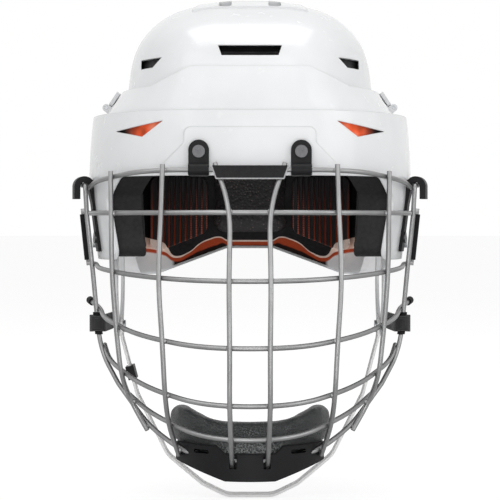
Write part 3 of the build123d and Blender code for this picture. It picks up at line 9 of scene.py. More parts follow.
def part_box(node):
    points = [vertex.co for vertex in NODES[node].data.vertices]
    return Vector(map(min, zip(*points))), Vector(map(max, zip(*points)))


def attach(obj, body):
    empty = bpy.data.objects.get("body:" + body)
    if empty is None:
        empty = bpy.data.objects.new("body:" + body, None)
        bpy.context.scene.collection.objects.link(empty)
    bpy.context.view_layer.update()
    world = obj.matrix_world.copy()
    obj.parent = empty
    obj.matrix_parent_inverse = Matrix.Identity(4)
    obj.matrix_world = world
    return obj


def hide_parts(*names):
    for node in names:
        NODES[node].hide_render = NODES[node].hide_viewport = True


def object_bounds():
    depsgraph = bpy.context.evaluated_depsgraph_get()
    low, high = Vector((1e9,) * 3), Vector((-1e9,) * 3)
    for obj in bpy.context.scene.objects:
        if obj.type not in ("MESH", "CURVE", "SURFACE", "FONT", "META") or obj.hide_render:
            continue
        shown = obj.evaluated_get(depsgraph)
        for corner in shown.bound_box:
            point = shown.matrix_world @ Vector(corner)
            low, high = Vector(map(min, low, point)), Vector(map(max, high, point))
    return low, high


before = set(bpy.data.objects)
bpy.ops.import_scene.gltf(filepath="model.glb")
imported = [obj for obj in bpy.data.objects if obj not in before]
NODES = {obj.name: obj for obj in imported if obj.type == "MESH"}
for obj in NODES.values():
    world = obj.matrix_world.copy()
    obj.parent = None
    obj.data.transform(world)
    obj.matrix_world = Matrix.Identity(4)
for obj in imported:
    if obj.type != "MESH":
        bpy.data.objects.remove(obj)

bl_info = {
    "name": "Ice Hockey Helmet",
    "version": (1, 0, 0),
    "blender": (4, 5, 0),
    "location": "3D View > Sidebar > Helmet",
    "description": "Dresses the helmet's frame: shell, foam, pads, wires, straps and stage",
    "category": "Object",
}

CAD_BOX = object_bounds()


# Frame nodes, by what they are made of

SHELL_NODES = ("front_shell", "rear_shell")
GUARD_NODES = ("ear_guard_left", "ear_guard_right")
LATCH_NODES = ("latch_base_left", "latch_base_right", "latch_lever_left", "latch_lever_right")
ROW_NODES = ("cage_row_1", "cage_row_2", "cage_row_3", "cage_row_4", "cage_row_5", "cage_row_6")
UPRIGHT_NODES = ("cage_uprights_inner", "cage_uprights_middle", "cage_uprights_outer")
WIRE_NODES = ROW_NODES + ("cage_rim",) + UPRIGHT_NODES + ("rear_posts",)
CLIP_NODES = ("forehead_clip_left", "forehead_clip_right")
BLACK_NODES = CLIP_NODES + ("corner_hook_left", "corner_hook_right", "chin_cup_holder", "strap_keeper")
RUBBER_NODES = ("post_sleeves", "corner_sleeves", "wire_caps")
STEEL_NODES = ("tee_nuts", "ear_guard_screws", "snap_posts", "strap_rivets", "latch_pins")
DARK_SCREW_NODES = ("shell_screws", "snap_cap_left", "snap_cap_right")


# Colours; a row of stops gives places from 0 to 1 and the colour at each

FITTING_BLACK = (0.007, 0.007, 0.008)
SLEEVE_BLACK = (0.006, 0.006, 0.007)
SCREW_STEEL = (0.55, 0.56, 0.58)
SCREW_BLACK = (0.11, 0.11, 0.115)
# Painted highlight on the name plate's bevelled ends and foot
PLATE_PAINTED_HIGHLIGHT = ((0.3, (0.30, 0.30, 0.31)), (0.7, (0.42, 0.42, 0.43)))
PLATE_DARK = ((0.3, (0.006, 0.006, 0.007)), (0.7, (0.012, 0.012, 0.013)))
# Painted highlight within the painted glow on the foam behind the brow vents
VENT_PAINTED_HIGHLIGHT = (1.0, 0.30, 0.17)
LIP_LIT = (1.0, 0.80, 0.70)
LIP_PALE_END = (0.90, 0.90, 0.91)
RIB_BLACK = (0.020, 0.018, 0.019)
# Painted glints in the lit rib grooves
RIB_PAINTED_GLINT = (0.85, 0.34, 0.28)
TEMPLE_GREY = (0.020, 0.020, 0.021)
MESH_STOPS = ((0.0, (0.020, 0.018, 0.019)), (0.45, (0.055, 0.045, 0.046)), (1.0, (0.16, 0.10, 0.095)))
SKIN_STOPS = ((0.0, (0.013, 0.014, 0.014)), (0.5, (0.028, 0.030, 0.031)), (1.0, (0.046, 0.049, 0.050)))
# Painted highlight on the chin cushion
SKIN_PAINTED_HIGHLIGHT = (0.34, 0.35, 0.35)
WEBBING_WHITE = (0.93, 0.93, 0.925)
WEBBING_BLACK = (0.012, 0.012, 0.013)
FLOOR_STOPS = ((0.4, (0.86, 0.86, 0.86)), (0.6, (0.88, 0.88, 0.88)))


# Where colours change, in metres in the frame; a fade is the place where it starts and where it ends

# Mask of the painted glow on the foam behind the brow vents
VENT_FADES_UP = ((0.020, 0.025), (0.042, 0.037))
VENT_FADES_OUT = ((0.050, 0.054), (0.079, 0.066))
LIT_FADE = (0.0001, -0.0003)
RED_FADE = (0.0001, -0.0005)
DARK_FADE = (-0.0021, -0.0034)
WIDE_RED_FADES = ((0.018, 0.025), (0.044, 0.033))
WIDE_RED_EXTRA = 0.0028
PALE_END_FADE = (0.0535, 0.0565)
RIB_START = 0.031
RIB_PITCH = 0.0038
RIB_LIGHT_FADE = (0.004, -0.040)
RIB_GLINT_FADE = (0.050, 0.036)
PLATE_FOOT = -0.0016
PLATE_FOOT_HALF = 0.0205
PLATE_FLARE = 0.357
PLATE_EDGE_FADE = (0.0009, 0.0007)
# Painted highlight on the chin cushion: where it fades in downward and toward the middle
HIGHLIGHT_FADE_DOWN = (-0.156, -0.165)
HIGHLIGHT_FADE_OUT = (0.028, 0.014)

# The lip's lit line, in thousandths of a metre: distance from the middle, and height of its top and foot

THOUSANDTHS = 1000.0
LIP_REACH = 80.0
LIP_LOW = -60.0
LIP_HIGH = -30.0
LIT_TOP = (
    (0.0, -39.8), (15.0, -39.8), (22.7, -37.2), (30.0, -39.0), (34.7, -41.0), (45.5, -49.0), (52.8, -51.2),
    (61.3, -41.5), (80.0, -36.0),
)
LIT_FOOT = (
    (0.0, -40.8), (15.0, -40.8), (22.7, -38.0), (30.0, -39.8), (34.7, -41.8), (45.5, -49.8), (52.8, -52.4),
    (61.3, -48.0), (80.0, -44.0),
)


# Meshes, in metres unless a name says otherwise

MERGE_REACH = 0.00002
PAD_SHRINK = 0.0012
CUSHION_SHRINK = 0.0008
RIB_VOXEL = 0.0005
CLOTH_MASS = 0.2
CLOTH_QUALITY = 4
CLOTH_STIFFNESS = 15
CLOTH_FRAMES = 20
CLIP_SEGMENTS = 64
WELD_STRETCH = (1.25, 1.0, 1.25)
WELD_REACH = 0.0006
WELD_SPACING = 0.02
POINT_SPACING = 0.001
STRAP_TURN = 0.00035
STRAP_FLAT_ANGLE = 0.01
STRAP_EDGE_ANGLE = 0.9


# Stage: floor, world, and lamps with their place, target, size and power in watts

FLOOR_SIZE = 30.0
FLOOR_GAP = 0.0005
FLOOR_GLOW = 1.17
FLOOR_GLOW_SHARE = 0.72
WORLD_LIGHT = 0.42
SENSOR_WIDTH = 36.0
LAMPS = (
    ("key_light", (-0.9, -1.5, 1.5), (0.0, 0.0, 0.0), 2.2, 17.0),
    ("fill_light", (1.4, -1.2, 0.6), (0.0, 0.0, -0.05), 1.4, 9.0),
    ("top_light", (0.0, 0.4, 1.8), (0.0, 0.0, 0.05), 1.2, 12.0),
    ("inner_light", (0.0, -0.9, -0.15), (0.0, 0.05, -0.03), 0.35, 1.6),
)


# Settings


class HelmetShellSettings(bpy.types.PropertyGroup):
    """Colours and surface of the moulded shell and the ear guards."""

    shell_colour: bpy.props.FloatVectorProperty(
        name="Shell colour", description="Colour of the moulded shell",
        default=(0.80, 0.81, 0.82), min=0.0, max=1.0, size=3, subtype="COLOR",
    )
    guard_colour: bpy.props.FloatVectorProperty(
        name="Ear guard colour", description="Colour of the ear guards and the size latches",
        default=(0.74, 0.75, 0.76), min=0.0, max=1.0, size=3, subtype="COLOR",
    )
    shell_roughness: bpy.props.FloatProperty(
        name="Shell roughness", description="Roughness of the glossy shell",
        default=0.24, min=0.0, max=1.0, subtype="FACTOR",
    )
    edge_rounding: bpy.props.FloatProperty(
        name="Edge rounding", description="How round the shell's moulded edges look",
        default=0.0012, min=0.0, max=0.01, unit="LENGTH", precision=4,
    )


class HelmetFoamSettings(bpy.types.PropertyGroup):
    """Colours of the foam blocks and the comfort pads."""

    # Red of the foam's edges, partly the foam's own red and partly painted glow; it also colours the
    # painted glow behind the brow vents and in the lit rib grooves
    glow_colour: bpy.props.FloatVectorProperty(
        name="Foam edge colour", description="Bright colour of the foam's edges",
        default=(0.95, 0.13, 0.035), min=0.0, max=1.0, size=3, subtype="COLOR",
    )
    foam_colour: bpy.props.FloatVectorProperty(
        name="Foam colour", description="Colour of the foam's inner faces",
        default=(0.014, 0.013, 0.014), min=0.0, max=1.0, size=3, subtype="COLOR",
    )
    pad_colour: bpy.props.FloatVectorProperty(
        name="Pad colour", description="Colour of the comfort pads",
        default=(0.014, 0.014, 0.015), min=0.0, max=1.0, size=3, subtype="COLOR",
    )
    pad_voxel: bpy.props.FloatProperty(
        name="Pad mesh size", description="Size of the mesh that each pad is inflated with",
        default=0.004, min=0.002, max=0.01, unit="LENGTH", precision=4,
    )
    pad_pressure: bpy.props.FloatProperty(
        name="Pad pressure", description="Pressure that fills each pad",
        default=4.0, min=0.0, max=20.0,
    )
    pad_swell: bpy.props.FloatProperty(
        name="Pad swell", description="Furthest that a pad's face may move as it fills",
        default=0.0022, min=0.0, max=0.01, unit="LENGTH", precision=4,
    )


class HelmetCageSettings(bpy.types.PropertyGroup):
    """Finish of the wires and their welds."""

    wire_colour: bpy.props.FloatVectorProperty(
        name="Wire colour", description="Colour of the cage's wires",
        default=(0.29, 0.29, 0.292), min=0.0, max=1.0, size=3, subtype="COLOR",
    )
    weld_radius: bpy.props.FloatProperty(
        name="Weld bead radius", description="Radius of the bead at each crossing",
        default=0.0013, min=0.0002, max=0.003, unit="LENGTH", precision=4,
    )


class HelmetStageSettings(bpy.types.PropertyGroup):
    """Place and lens of the camera."""

    camera_distance: bpy.props.FloatProperty(
        name="Camera distance", description="Distance of the camera in front of the head's middle",
        default=1.25, min=0.5, max=5.0, unit="LENGTH",
    )
    camera_height: bpy.props.FloatProperty(
        name="Camera height", description="Height of the camera against the brow edge",
        default=-0.029, min=-1.0, max=1.0, unit="LENGTH",
    )
    camera_pitch: bpy.props.FloatProperty(
        name="Camera pitch", description="Downward tilt of the camera",
        default=math.radians(0.767), min=-0.5, max=0.5, subtype="ANGLE", unit="ROTATION",
    )
    lens: bpy.props.FloatProperty(
        name="Lens", description="Focal length in millimetres", default=134.4, min=20.0, max=300.0,
    )


# Material nodes


def new_material(name):
    """A material with a principled shader; its tree, its shader and a vector of places in metres."""
    made = bpy.data.materials.new(name)
    made.use_nodes = True
    tree = made.node_tree
    shader = next(node for node in tree.nodes if node.type == "BSDF_PRINCIPLED")
    place = tree.nodes.new("ShaderNodeTexCoord").outputs["Object"]
    return made, tree, shader, place


def noise(tree, place, scale, detail=3.0, roughness=0.5):
    """Noise value over the surface."""
    node = tree.nodes.new("ShaderNodeTexNoise")
    node.inputs["Scale"].default_value = scale
    node.inputs["Detail"].default_value = detail
    node.inputs["Roughness"].default_value = roughness
    tree.links.new(place, node.inputs["Vector"])
    return node.outputs["Fac"]


def cells(tree, place, scale, feature="F1"):
    """Distance to the nearest cell's middle, or to its edge with that feature."""
    node = tree.nodes.new("ShaderNodeTexVoronoi")
    node.feature = feature
    node.inputs["Scale"].default_value = scale
    tree.links.new(place, node.inputs["Vector"])
    return node.outputs["Distance"]


def bands(tree, place, scale, direction, distortion=0.0):
    """Soft parallel bands."""
    node = tree.nodes.new("ShaderNodeTexWave")
    node.wave_type = "BANDS"
    node.bands_direction = direction
    node.inputs["Scale"].default_value = scale
    node.inputs["Distortion"].default_value = distortion
    tree.links.new(place, node.inputs["Vector"])
    return node.outputs["Fac"]


def ramp(tree, value, stops):
    """Colours along a value; each stop is a place and a colour."""
    node = tree.nodes.new("ShaderNodeValToRGB")
    elements = node.color_ramp.elements
    while len(elements) < len(stops):
        elements.new(0.5)
    for element, (place, colour) in zip(elements, stops):
        element.position = place
        element.color = (*colour, 1.0)
    tree.links.new(value, node.inputs["Fac"])
    return node.outputs["Color"]


def spread(tree, value, low, high):
    """A 0 to 1 value laid out between two numbers."""
    node = tree.nodes.new("ShaderNodeMapRange")
    node.inputs["To Min"].default_value = low
    node.inputs["To Max"].default_value = high
    tree.links.new(value, node.inputs["Value"])
    return node.outputs["Result"]


def step(tree, value, start, end):
    """Smooth step of a value from 0 at start to 1 at end."""
    node = tree.nodes.new("ShaderNodeMapRange")
    node.interpolation_type = "SMOOTHSTEP"
    node.inputs["From Min"].default_value = start
    node.inputs["From Max"].default_value = end
    tree.links.new(value, node.inputs["Value"])
    return node.outputs["Result"]


def combine(tree, operation, first, second=0.0):
    """Two values, or one, through a maths node."""
    node = tree.nodes.new("ShaderNodeMath")
    node.operation = operation
    for socket, value in zip(node.inputs, (first, second)):
        if isinstance(value, (int, float)):
            socket.default_value = value
        else:
            tree.links.new(value, socket)
    return node.outputs["Value"]


def between(tree, value, fades):
    """1 between a fade in and a fade out of a value."""
    fade_in, fade_out = fades
    return combine(tree, "MULTIPLY", step(tree, value, *fade_in), step(tree, value, *fade_out))


def blend_colours(tree, factor, first, second):
    """Mix of two colours by a factor."""
    node = tree.nodes.new("ShaderNodeMix")
    node.data_type = "RGBA"
    colours = [socket for socket in node.inputs if socket.type == "RGBA"]
    for socket, colour in zip(colours, (first, second)):
        if isinstance(colour, (tuple, list)):
            socket.default_value = (*colour, 1.0)
        else:
            tree.links.new(colour, socket)
    tree.links.new(factor, node.inputs["Factor"])
    return next(socket for socket in node.outputs if socket.type == "RGBA")


def side_and_height(tree, place):
    """Distance of the place from the middle plane, and its height."""
    node = tree.nodes.new("ShaderNodeSeparateXYZ")
    tree.links.new(place, node.inputs["Vector"])
    return combine(tree, "ABSOLUTE", node.outputs["X"]), node.outputs["Z"]


def relief(tree, shader, height, distance, strength=1.0, rounding=0.0):
    """Bump from a height, over edges rounded by a bevel radius where one is given."""
    bump = tree.nodes.new("ShaderNodeBump")
    bump.inputs["Strength"].default_value = strength
    bump.inputs["Distance"].default_value = distance
    tree.links.new(height, bump.inputs["Height"])
    if rounding:
        bevel = tree.nodes.new("ShaderNodeBevel")
        bevel.samples = 6
        bevel.inputs["Radius"].default_value = rounding
        tree.links.new(bevel.outputs["Normal"], bump.inputs["Normal"])
    tree.links.new(bump.outputs["Normal"], shader.inputs["Normal"])


def coat_with(tree, shader, colour, roughness):
    """Base colour and roughness of a shader, each from a socket."""
    tree.links.new(colour, shader.inputs["Base Color"])
    tree.links.new(roughness, shader.inputs["Roughness"])


def shade(colour, factor):
    """A colour made darker or lighter by a factor."""
    return tuple(min(1.0, channel * factor) for channel in colour)


# Materials


def moulded_plastic(name, colour, roughness, coat, rounding, grain_scale, grain_depth, specular=0.35):
    """Moulded plastic: slight cloudiness, fine surface grain, handling marks in the gloss."""
    made, tree, shader, place = new_material(name)
    cloud = noise(tree, place, scale=14.0, detail=4.0)
    marks = noise(tree, place, scale=90.0, detail=6.0, roughness=0.65)
    coat_with(
        tree, shader,
        colour=ramp(tree, cloud, [(0.3, shade(colour, 0.93)), (0.7, shade(colour, 1.04))]),
        roughness=spread(tree, marks, low=roughness * 0.75, high=roughness * 1.35),
    )
    shader.inputs["Coat Weight"].default_value = coat
    shader.inputs["Coat Roughness"].default_value = 0.08
    shader.inputs["Specular IOR Level"].default_value = specular
    grain = noise(tree, place, scale=grain_scale, detail=2.0)
    relief(tree, shader, grain, distance=grain_depth, strength=0.6, rounding=rounding)
    return made


def satin_wire(name, colour):
    """Drawn wire under a satin plating: fine marks, a little dulling."""
    made, tree, shader, place = new_material(name)
    cloud = noise(tree, place, scale=45.0, detail=5.0, roughness=0.6)
    marks = noise(tree, place, scale=900.0)
    coat_with(
        tree, shader,
        colour=ramp(tree, cloud, [(0.25, shade(colour, 0.78)), (0.55, colour), (0.8, shade(colour, 1.22))]),
        roughness=spread(tree, marks, low=0.28, high=0.46),
    )
    shader.inputs["Metallic"].default_value = 0.85
    relief(tree, shader, marks, distance=0.00006, strength=0.5)
    return made


def bead_foam(name, inner, edge, lip):
    """Moulded bead foam: cells all over, dark faces, a painted glow on the foam behind the vents, and the
    lower lip's colours with its painted lit line.
    """
    made, tree, shader, place = new_material(name)
    cell = cells(tree, place, scale=420.0)
    dark = ramp(tree, cell, [(0.0, shade(inner, 1.3)), (0.6, inner), (1.0, shade(inner, 0.6))])
    if lip:
        colour = lip_colours(tree, place, dark, shade(edge, 0.55))
    else:
        # Painted glow and painted highlight on the foam that shows through the brow vents
        patch = noise(tree, place, scale=90.0, detail=1.0)
        bright = ramp(tree, patch, [(0.35, shade(edge, 0.55)), (0.5, edge), (0.68, VENT_PAINTED_HIGHLIGHT)])
        colour = blend_colours(tree, painted_vent_glow(tree, place), dark, bright)
    dulling = noise(tree, place, scale=60.0)
    coat_with(tree, shader, colour, spread(tree, dulling, low=0.5, high=0.8))
    shader.inputs["Specular IOR Level"].default_value = 0.3
    relief(tree, shader, cell, distance=0.0003, strength=0.5)
    return made


def painted_vent_glow(tree, place):
    """Mask of the painted glow: 1 on the foam that shows through the inner part of the brow vents, fading
    outward.
    """
    side, height = side_and_height(tree, place)
    return combine(
        tree, "MULTIPLY", between(tree, height, VENT_FADES_UP), between(tree, side, VENT_FADES_OUT)
    )


def height_over(tree, side, points):
    """Height of a line over the distance from the middle; its points are in thousandths of a metre."""
    node = tree.nodes.new("ShaderNodeFloatCurve")
    curve = node.mapping.curves[0]
    while len(curve.points) < len(points):
        curve.points.new(0.5, 0.5)
    for point, (away, height) in zip(curve.points, points):
        point.location = (away / LIP_REACH, (height - LIP_LOW) / (LIP_HIGH - LIP_LOW))
        point.handle_type = "AUTO_CLAMPED"
    node.mapping.update()
    tree.links.new(combine(tree, "MULTIPLY", side, THOUSANDTHS / LIP_REACH), node.inputs["Value"])
    return spread(tree, node.outputs["Value"], low=LIP_LOW / THOUSANDTHS, high=LIP_HIGH / THOUSANDTHS)


def lip_colours(tree, place, dark, glow):
    """Lower lip of the rear foam: dark above, a lit line, a red band, a dark foot and pale ends."""
    side, height = side_and_height(tree, place)
    top = combine(tree, "SUBTRACT", height, height_over(tree, side, LIT_TOP))
    foot = combine(tree, "SUBTRACT", height, height_over(tree, side, LIT_FOOT))
    lit = blend_colours(tree, step(tree, top, *LIT_FADE), dark, LIP_LIT)
    red = blend_colours(tree, step(tree, foot, *RED_FADE), lit, glow)
    wide = combine(tree, "MULTIPLY", between(tree, side, WIDE_RED_FADES), WIDE_RED_EXTRA)
    below = combine(tree, "ADD", foot, wide)
    under = blend_colours(tree, step(tree, side, *PALE_END_FADE), shade(glow, 0.02), LIP_PALE_END)
    return blend_colours(tree, step(tree, below, *DARK_FADE), red, under)


def knitted_pad(name, colour):
    """Knitted cover over soft foam."""
    made, tree, shader, place = new_material(name)
    across = bands(tree, place, scale=260.0, direction="X", distortion=0.6)
    along = bands(tree, place, scale=260.0, direction="Z", distortion=0.6)
    knit = combine(tree, "MULTIPLY", across, along)
    coat_with(
        tree, shader,
        colour=ramp(tree, knit, [(0.0, shade(colour, 0.5)), (0.5, colour), (1.0, shade(colour, 1.9))]),
        roughness=spread(tree, noise(tree, place, scale=80.0), low=0.62, high=0.9),
    )
    shader.inputs["Sheen Weight"].default_value = 0.25
    shader.inputs["Sheen Roughness"].default_value = 0.5
    relief(tree, shader, knit, distance=0.0004, strength=0.8)
    return made


def smooth_foam(name, colour):
    """Closed foam with a skin: fine pores and a faint cloudiness."""
    made, tree, shader, place = new_material(name)
    cloud = noise(tree, place, scale=22.0, detail=4.0)
    coat_with(
        tree, shader,
        colour=ramp(tree, cloud, [(0.3, shade(colour, 0.75)), (0.7, shade(colour, 1.35))]),
        roughness=spread(tree, cloud, low=0.42, high=0.62),
    )
    relief(tree, shader, cells(tree, place, scale=900.0), distance=0.00015, strength=0.5)
    return made


def mesh_face(name):
    """Fine open mesh over a dark red backing."""
    made, tree, shader, place = new_material(name)
    across = bands(tree, place, scale=200.0, direction="DIAGONAL")
    cell = cells(tree, place, scale=560.0)
    hole = step(tree, cell, start=0.28, end=0.2)
    weave = combine(tree, "MULTIPLY", across, hole)
    coat_with(tree, shader, ramp(tree, weave, MESH_STOPS), spread(tree, cell, low=0.35, high=0.7))
    relief(tree, shader, cell, distance=0.0004, strength=0.9)
    return made


def ribbed_foam(name, colour, glow):
    """Dark ribs with lit red grooves between them, painted glints in the lit grooves near the middle, and
    the foam's lit lip under them.
    """
    made, tree, shader, place = new_material(name)
    side, height = side_and_height(tree, place)
    turn = combine(tree, "DIVIDE", combine(tree, "SUBTRACT", side, RIB_START), RIB_PITCH)
    from_rib = combine(tree, "SUBTRACT", combine(tree, "FRACT", turn), 0.5)
    groove = step(tree, combine(tree, "ABSOLUTE", from_rib), start=0.30, end=0.38)
    light = step(tree, height, *RIB_LIGHT_FADE)
    lit_groove = combine(tree, "MULTIPLY", groove, light)
    # Painted glints: bright specks in the lit grooves, near the middle
    beads = step(tree, bands(tree, place, scale=240.0, direction="Z"), start=0.35, end=0.75)
    glint_place = combine(tree, "MULTIPLY", step(tree, side, *RIB_GLINT_FADE), beads)
    glint_amount = combine(tree, "MULTIPLY", combine(tree, "MULTIPLY", lit_groove, glint_place), 0.7)
    grooved = blend_colours(tree, lit_groove, colour, shade(glow, 0.30))
    ribs = blend_colours(tree, glint_amount, grooved, RIB_PAINTED_GLINT)
    dulling = noise(tree, place, scale=30.0, detail=4.0)
    coat_with(
        tree, shader,
        colour=lip_colours(tree, place, ribs, shade(glow, 0.55)),
        roughness=spread(tree, dulling, low=0.4, high=0.65),
    )
    shader.inputs["Specular IOR Level"].default_value = 0.3
    relief(tree, shader, cells(tree, place, scale=700.0), distance=0.00015, strength=0.5)
    return made


def edged_plate(name):
    """Black plate with a thin painted highlight along its ends and its foot, on the bevel faces that catch
    the light.
    """
    made, tree, shader, place = new_material(name)
    side, height = side_and_height(tree, place)
    rise = combine(tree, "SUBTRACT", height, PLATE_FOOT)
    half = combine(tree, "ADD", combine(tree, "MULTIPLY", rise, PLATE_FLARE), PLATE_FOOT_HALF)
    inside = combine(tree, "MINIMUM", combine(tree, "SUBTRACT", half, side), rise)
    marks = noise(tree, place, scale=500.0)
    # Painted highlight on the bevel faces along the plate's ends and foot
    edge = step(tree, inside, *PLATE_EDGE_FADE)
    coat_with(
        tree, shader,
        colour=blend_colours(tree, edge, ramp(tree, marks, PLATE_DARK), ramp(tree, marks, PLATE_PAINTED_HIGHLIGHT)),
        roughness=spread(tree, marks, low=0.28, high=0.42),
    )
    shader.inputs["Specular IOR Level"].default_value = 0.15
    relief(tree, shader, marks, distance=0.00004, strength=0.5)
    return made


def grained_leather(name):
    """Black grained skin of the chin cushion, with a painted highlight of lighter specks low in its middle.
    """
    made, tree, shader, place = new_material(name)
    cell = cells(tree, place, scale=760.0, feature="DISTANCE_TO_EDGE")
    fine = noise(tree, place, scale=900.0, detail=4.0)
    crease = step(tree, cell, start=0.0, end=0.16)
    side, height = side_and_height(tree, place)
    # Painted highlight: lighter specks low in the cushion's middle, where the skin shines
    painted_highlight = combine(
        tree, "MULTIPLY", step(tree, height, *HIGHLIGHT_FADE_DOWN), step(tree, side, *HIGHLIGHT_FADE_OUT)
    )
    highlight_specks = combine(tree, "MULTIPLY", painted_highlight, step(tree, fine, start=0.40, end=0.60))
    coat_with(
        tree, shader,
        colour=blend_colours(tree, highlight_specks, ramp(tree, crease, SKIN_STOPS), SKIN_PAINTED_HIGHLIGHT),
        roughness=spread(tree, fine, low=0.30, high=0.5),
    )
    grain = combine(tree, "ADD", crease, combine(tree, "MULTIPLY", fine, 0.35))
    relief(tree, shader, grain, distance=0.0004)
    return made


def webbing(name, colour, run, depth):
    """Woven strap: ribs across its run and fine threads along it; the depth darkens the gaps."""
    made, tree, shader, place = new_material(name)
    ribs = bands(tree, place, scale=330.0, direction=run, distortion=0.25)
    threads = bands(tree, place, scale=420.0, direction="Y" if run != "Y" else "Z", distortion=0.25)
    weave = combine(tree, "MULTIPLY", ribs, threads)
    coat_with(
        tree, shader,
        colour=ramp(tree, weave, [(0.0, shade(colour, depth)), (0.4, colour), (1.0, shade(colour, 1.12))]),
        roughness=spread(tree, noise(tree, place, scale=120.0), low=0.6, high=0.85),
    )
    shader.inputs["Sheen Weight"].default_value = 0.15
    relief(tree, shader, weave, distance=0.00035, strength=0.8)
    return made


def turned_steel(name, colour):
    """Plated screw steel with fine turning marks."""
    made, tree, shader, place = new_material(name)
    marks = noise(tree, place, scale=1500.0, detail=2.0)
    coat_with(
        tree, shader,
        colour=ramp(tree, marks, [(0.3, shade(colour, 0.8)), (0.7, colour)]),
        roughness=spread(tree, marks, low=0.25, high=0.4),
    )
    shader.inputs["Metallic"].default_value = 1.0
    relief(tree, shader, marks, distance=0.00004, strength=0.4)
    return made


def floor_material():
    """Pale floor that the camera sees nearly white and that keeps the shadow."""
    made, tree, shader, place = new_material("floor_pale")
    grain = noise(tree, place, scale=3.0, detail=2.0)
    tree.links.new(ramp(tree, grain, FLOOR_STOPS), shader.inputs["Base Color"])
    shader.inputs["Roughness"].default_value = 0.9
    path = tree.nodes.new("ShaderNodeLightPath")
    white = tree.nodes.new("ShaderNodeEmission")
    white.inputs["Color"].default_value = (1.0, 1.0, 1.0, 1.0)
    white.inputs["Strength"].default_value = FLOOR_GLOW
    mix = tree.nodes.new("ShaderNodeMixShader")
    share = combine(tree, "MULTIPLY", path.outputs["Is Camera Ray"], FLOOR_GLOW_SHARE)
    tree.links.new(share, mix.inputs["Fac"])
    tree.links.new(shader.outputs["BSDF"], mix.inputs[1])
    tree.links.new(white.outputs["Emission"], mix.inputs[2])
    output = next(node for node in tree.nodes if node.type == "OUTPUT_MATERIAL")
    tree.links.new(mix.outputs["Shader"], output.inputs["Surface"])
    return made


def dress(names, material):
    """Give frame nodes a material."""
    for name in names:
        mesh = NODES[name].data
        mesh.materials.clear()
        mesh.materials.append(material)


# Meshes


def placed(name, data):
    """A new object in the scene."""
    made = bpy.data.objects.new(name, data)
    bpy.context.scene.collection.objects.link(made)
    return made


def new_piece(name, mesh, material, body):
    """A finished piece: its object, material, body and material slot."""
    piece = placed(name, mesh)
    mesh.materials.clear()
    mesh.materials.append(material)
    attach(piece, body)
    return piece


def mesh_from(bm, name, smooth=True):
    """Mesh of a finished bmesh."""
    bmesh.ops.recalc_face_normals(bm, faces=bm.faces)
    mesh = bpy.data.meshes.new(name)
    bm.to_mesh(mesh)
    bm.free()
    for polygon in mesh.polygons:
        polygon.use_smooth = smooth
    return mesh


def node_copy(name):
    """A bmesh of a frame node, with its doubled points merged."""
    bm = bmesh.new()
    bm.from_mesh(NODES[name].data)
    bmesh.ops.remove_doubles(bm, verts=bm.verts, dist=MERGE_REACH)
    return bm


def applied(mesh, kind, values):
    """The mesh after one modifier with its settings."""
    carrier = placed("carrier", mesh)
    modifier = carrier.modifiers.new(kind.title(), kind)
    for key, value in values.items():
        setattr(modifier, key, value)
    graph = bpy.context.evaluated_depsgraph_get()
    result = bpy.data.meshes.new_from_object(carrier.evaluated_get(graph))
    bpy.data.objects.remove(carrier)
    return result


def remeshed(name, voxel):
    """A bmesh of a frame node, remeshed to even squares and smoothed once."""
    mesh = mesh_from(node_copy(name), name + "_form")
    mesh = applied(mesh, "REMESH", {"mode": "VOXEL", "voxel_size": voxel})
    bm = bmesh.new()
    bm.from_mesh(mesh)
    bmesh.ops.smooth_vert(bm, verts=bm.verts, factor=0.5, use_axis_x=True, use_axis_y=True, use_axis_z=True)
    return bm


def inflated(mesh, pressure, swell):
    """The mesh filled by cloth pressure, no point moving further than the swell."""
    scene = bpy.context.scene
    carrier = placed("carrier", mesh)
    rest = [point.co.copy() for point in mesh.vertices]
    cloth = carrier.modifiers.new("Cloth", "CLOTH")
    cloth.settings.use_pressure = True
    cloth.settings.uniform_pressure_force = pressure
    cloth.settings.mass = CLOTH_MASS
    cloth.settings.quality = CLOTH_QUALITY
    cloth.settings.tension_stiffness = CLOTH_STIFFNESS
    cloth.settings.compression_stiffness = CLOTH_STIFFNESS
    cloth.settings.effector_weights.gravity = 0
    cloth.point_cache.frame_start = 1
    cloth.point_cache.frame_end = CLOTH_FRAMES
    for moment in range(1, CLOTH_FRAMES + 1):
        scene.frame_set(moment)
    graph = bpy.context.evaluated_depsgraph_get()
    filled = bpy.data.meshes.new_from_object(carrier.evaluated_get(graph))
    bpy.data.objects.remove(carrier)
    scene.frame_set(1)
    for point, start in zip(filled.vertices, rest):
        move = point.co - start
        if move.length > swell:
            point.co = start + move.normalized() * swell
    return filled


def soft_copy(name, settings, shrink):
    """A padded form of a frame node: remeshed, drawn in a little, then filled."""
    bm = remeshed(name, settings.pad_voxel)
    bm.normal_update()
    for point in bm.verts:
        point.co -= point.normal * shrink
    mesh = mesh_from(bm, name + "_filled")
    mesh = inflated(mesh, settings.pad_pressure, settings.pad_swell)
    return applied(mesh, "SUBSURF", {"levels": 1, "render_levels": 1})


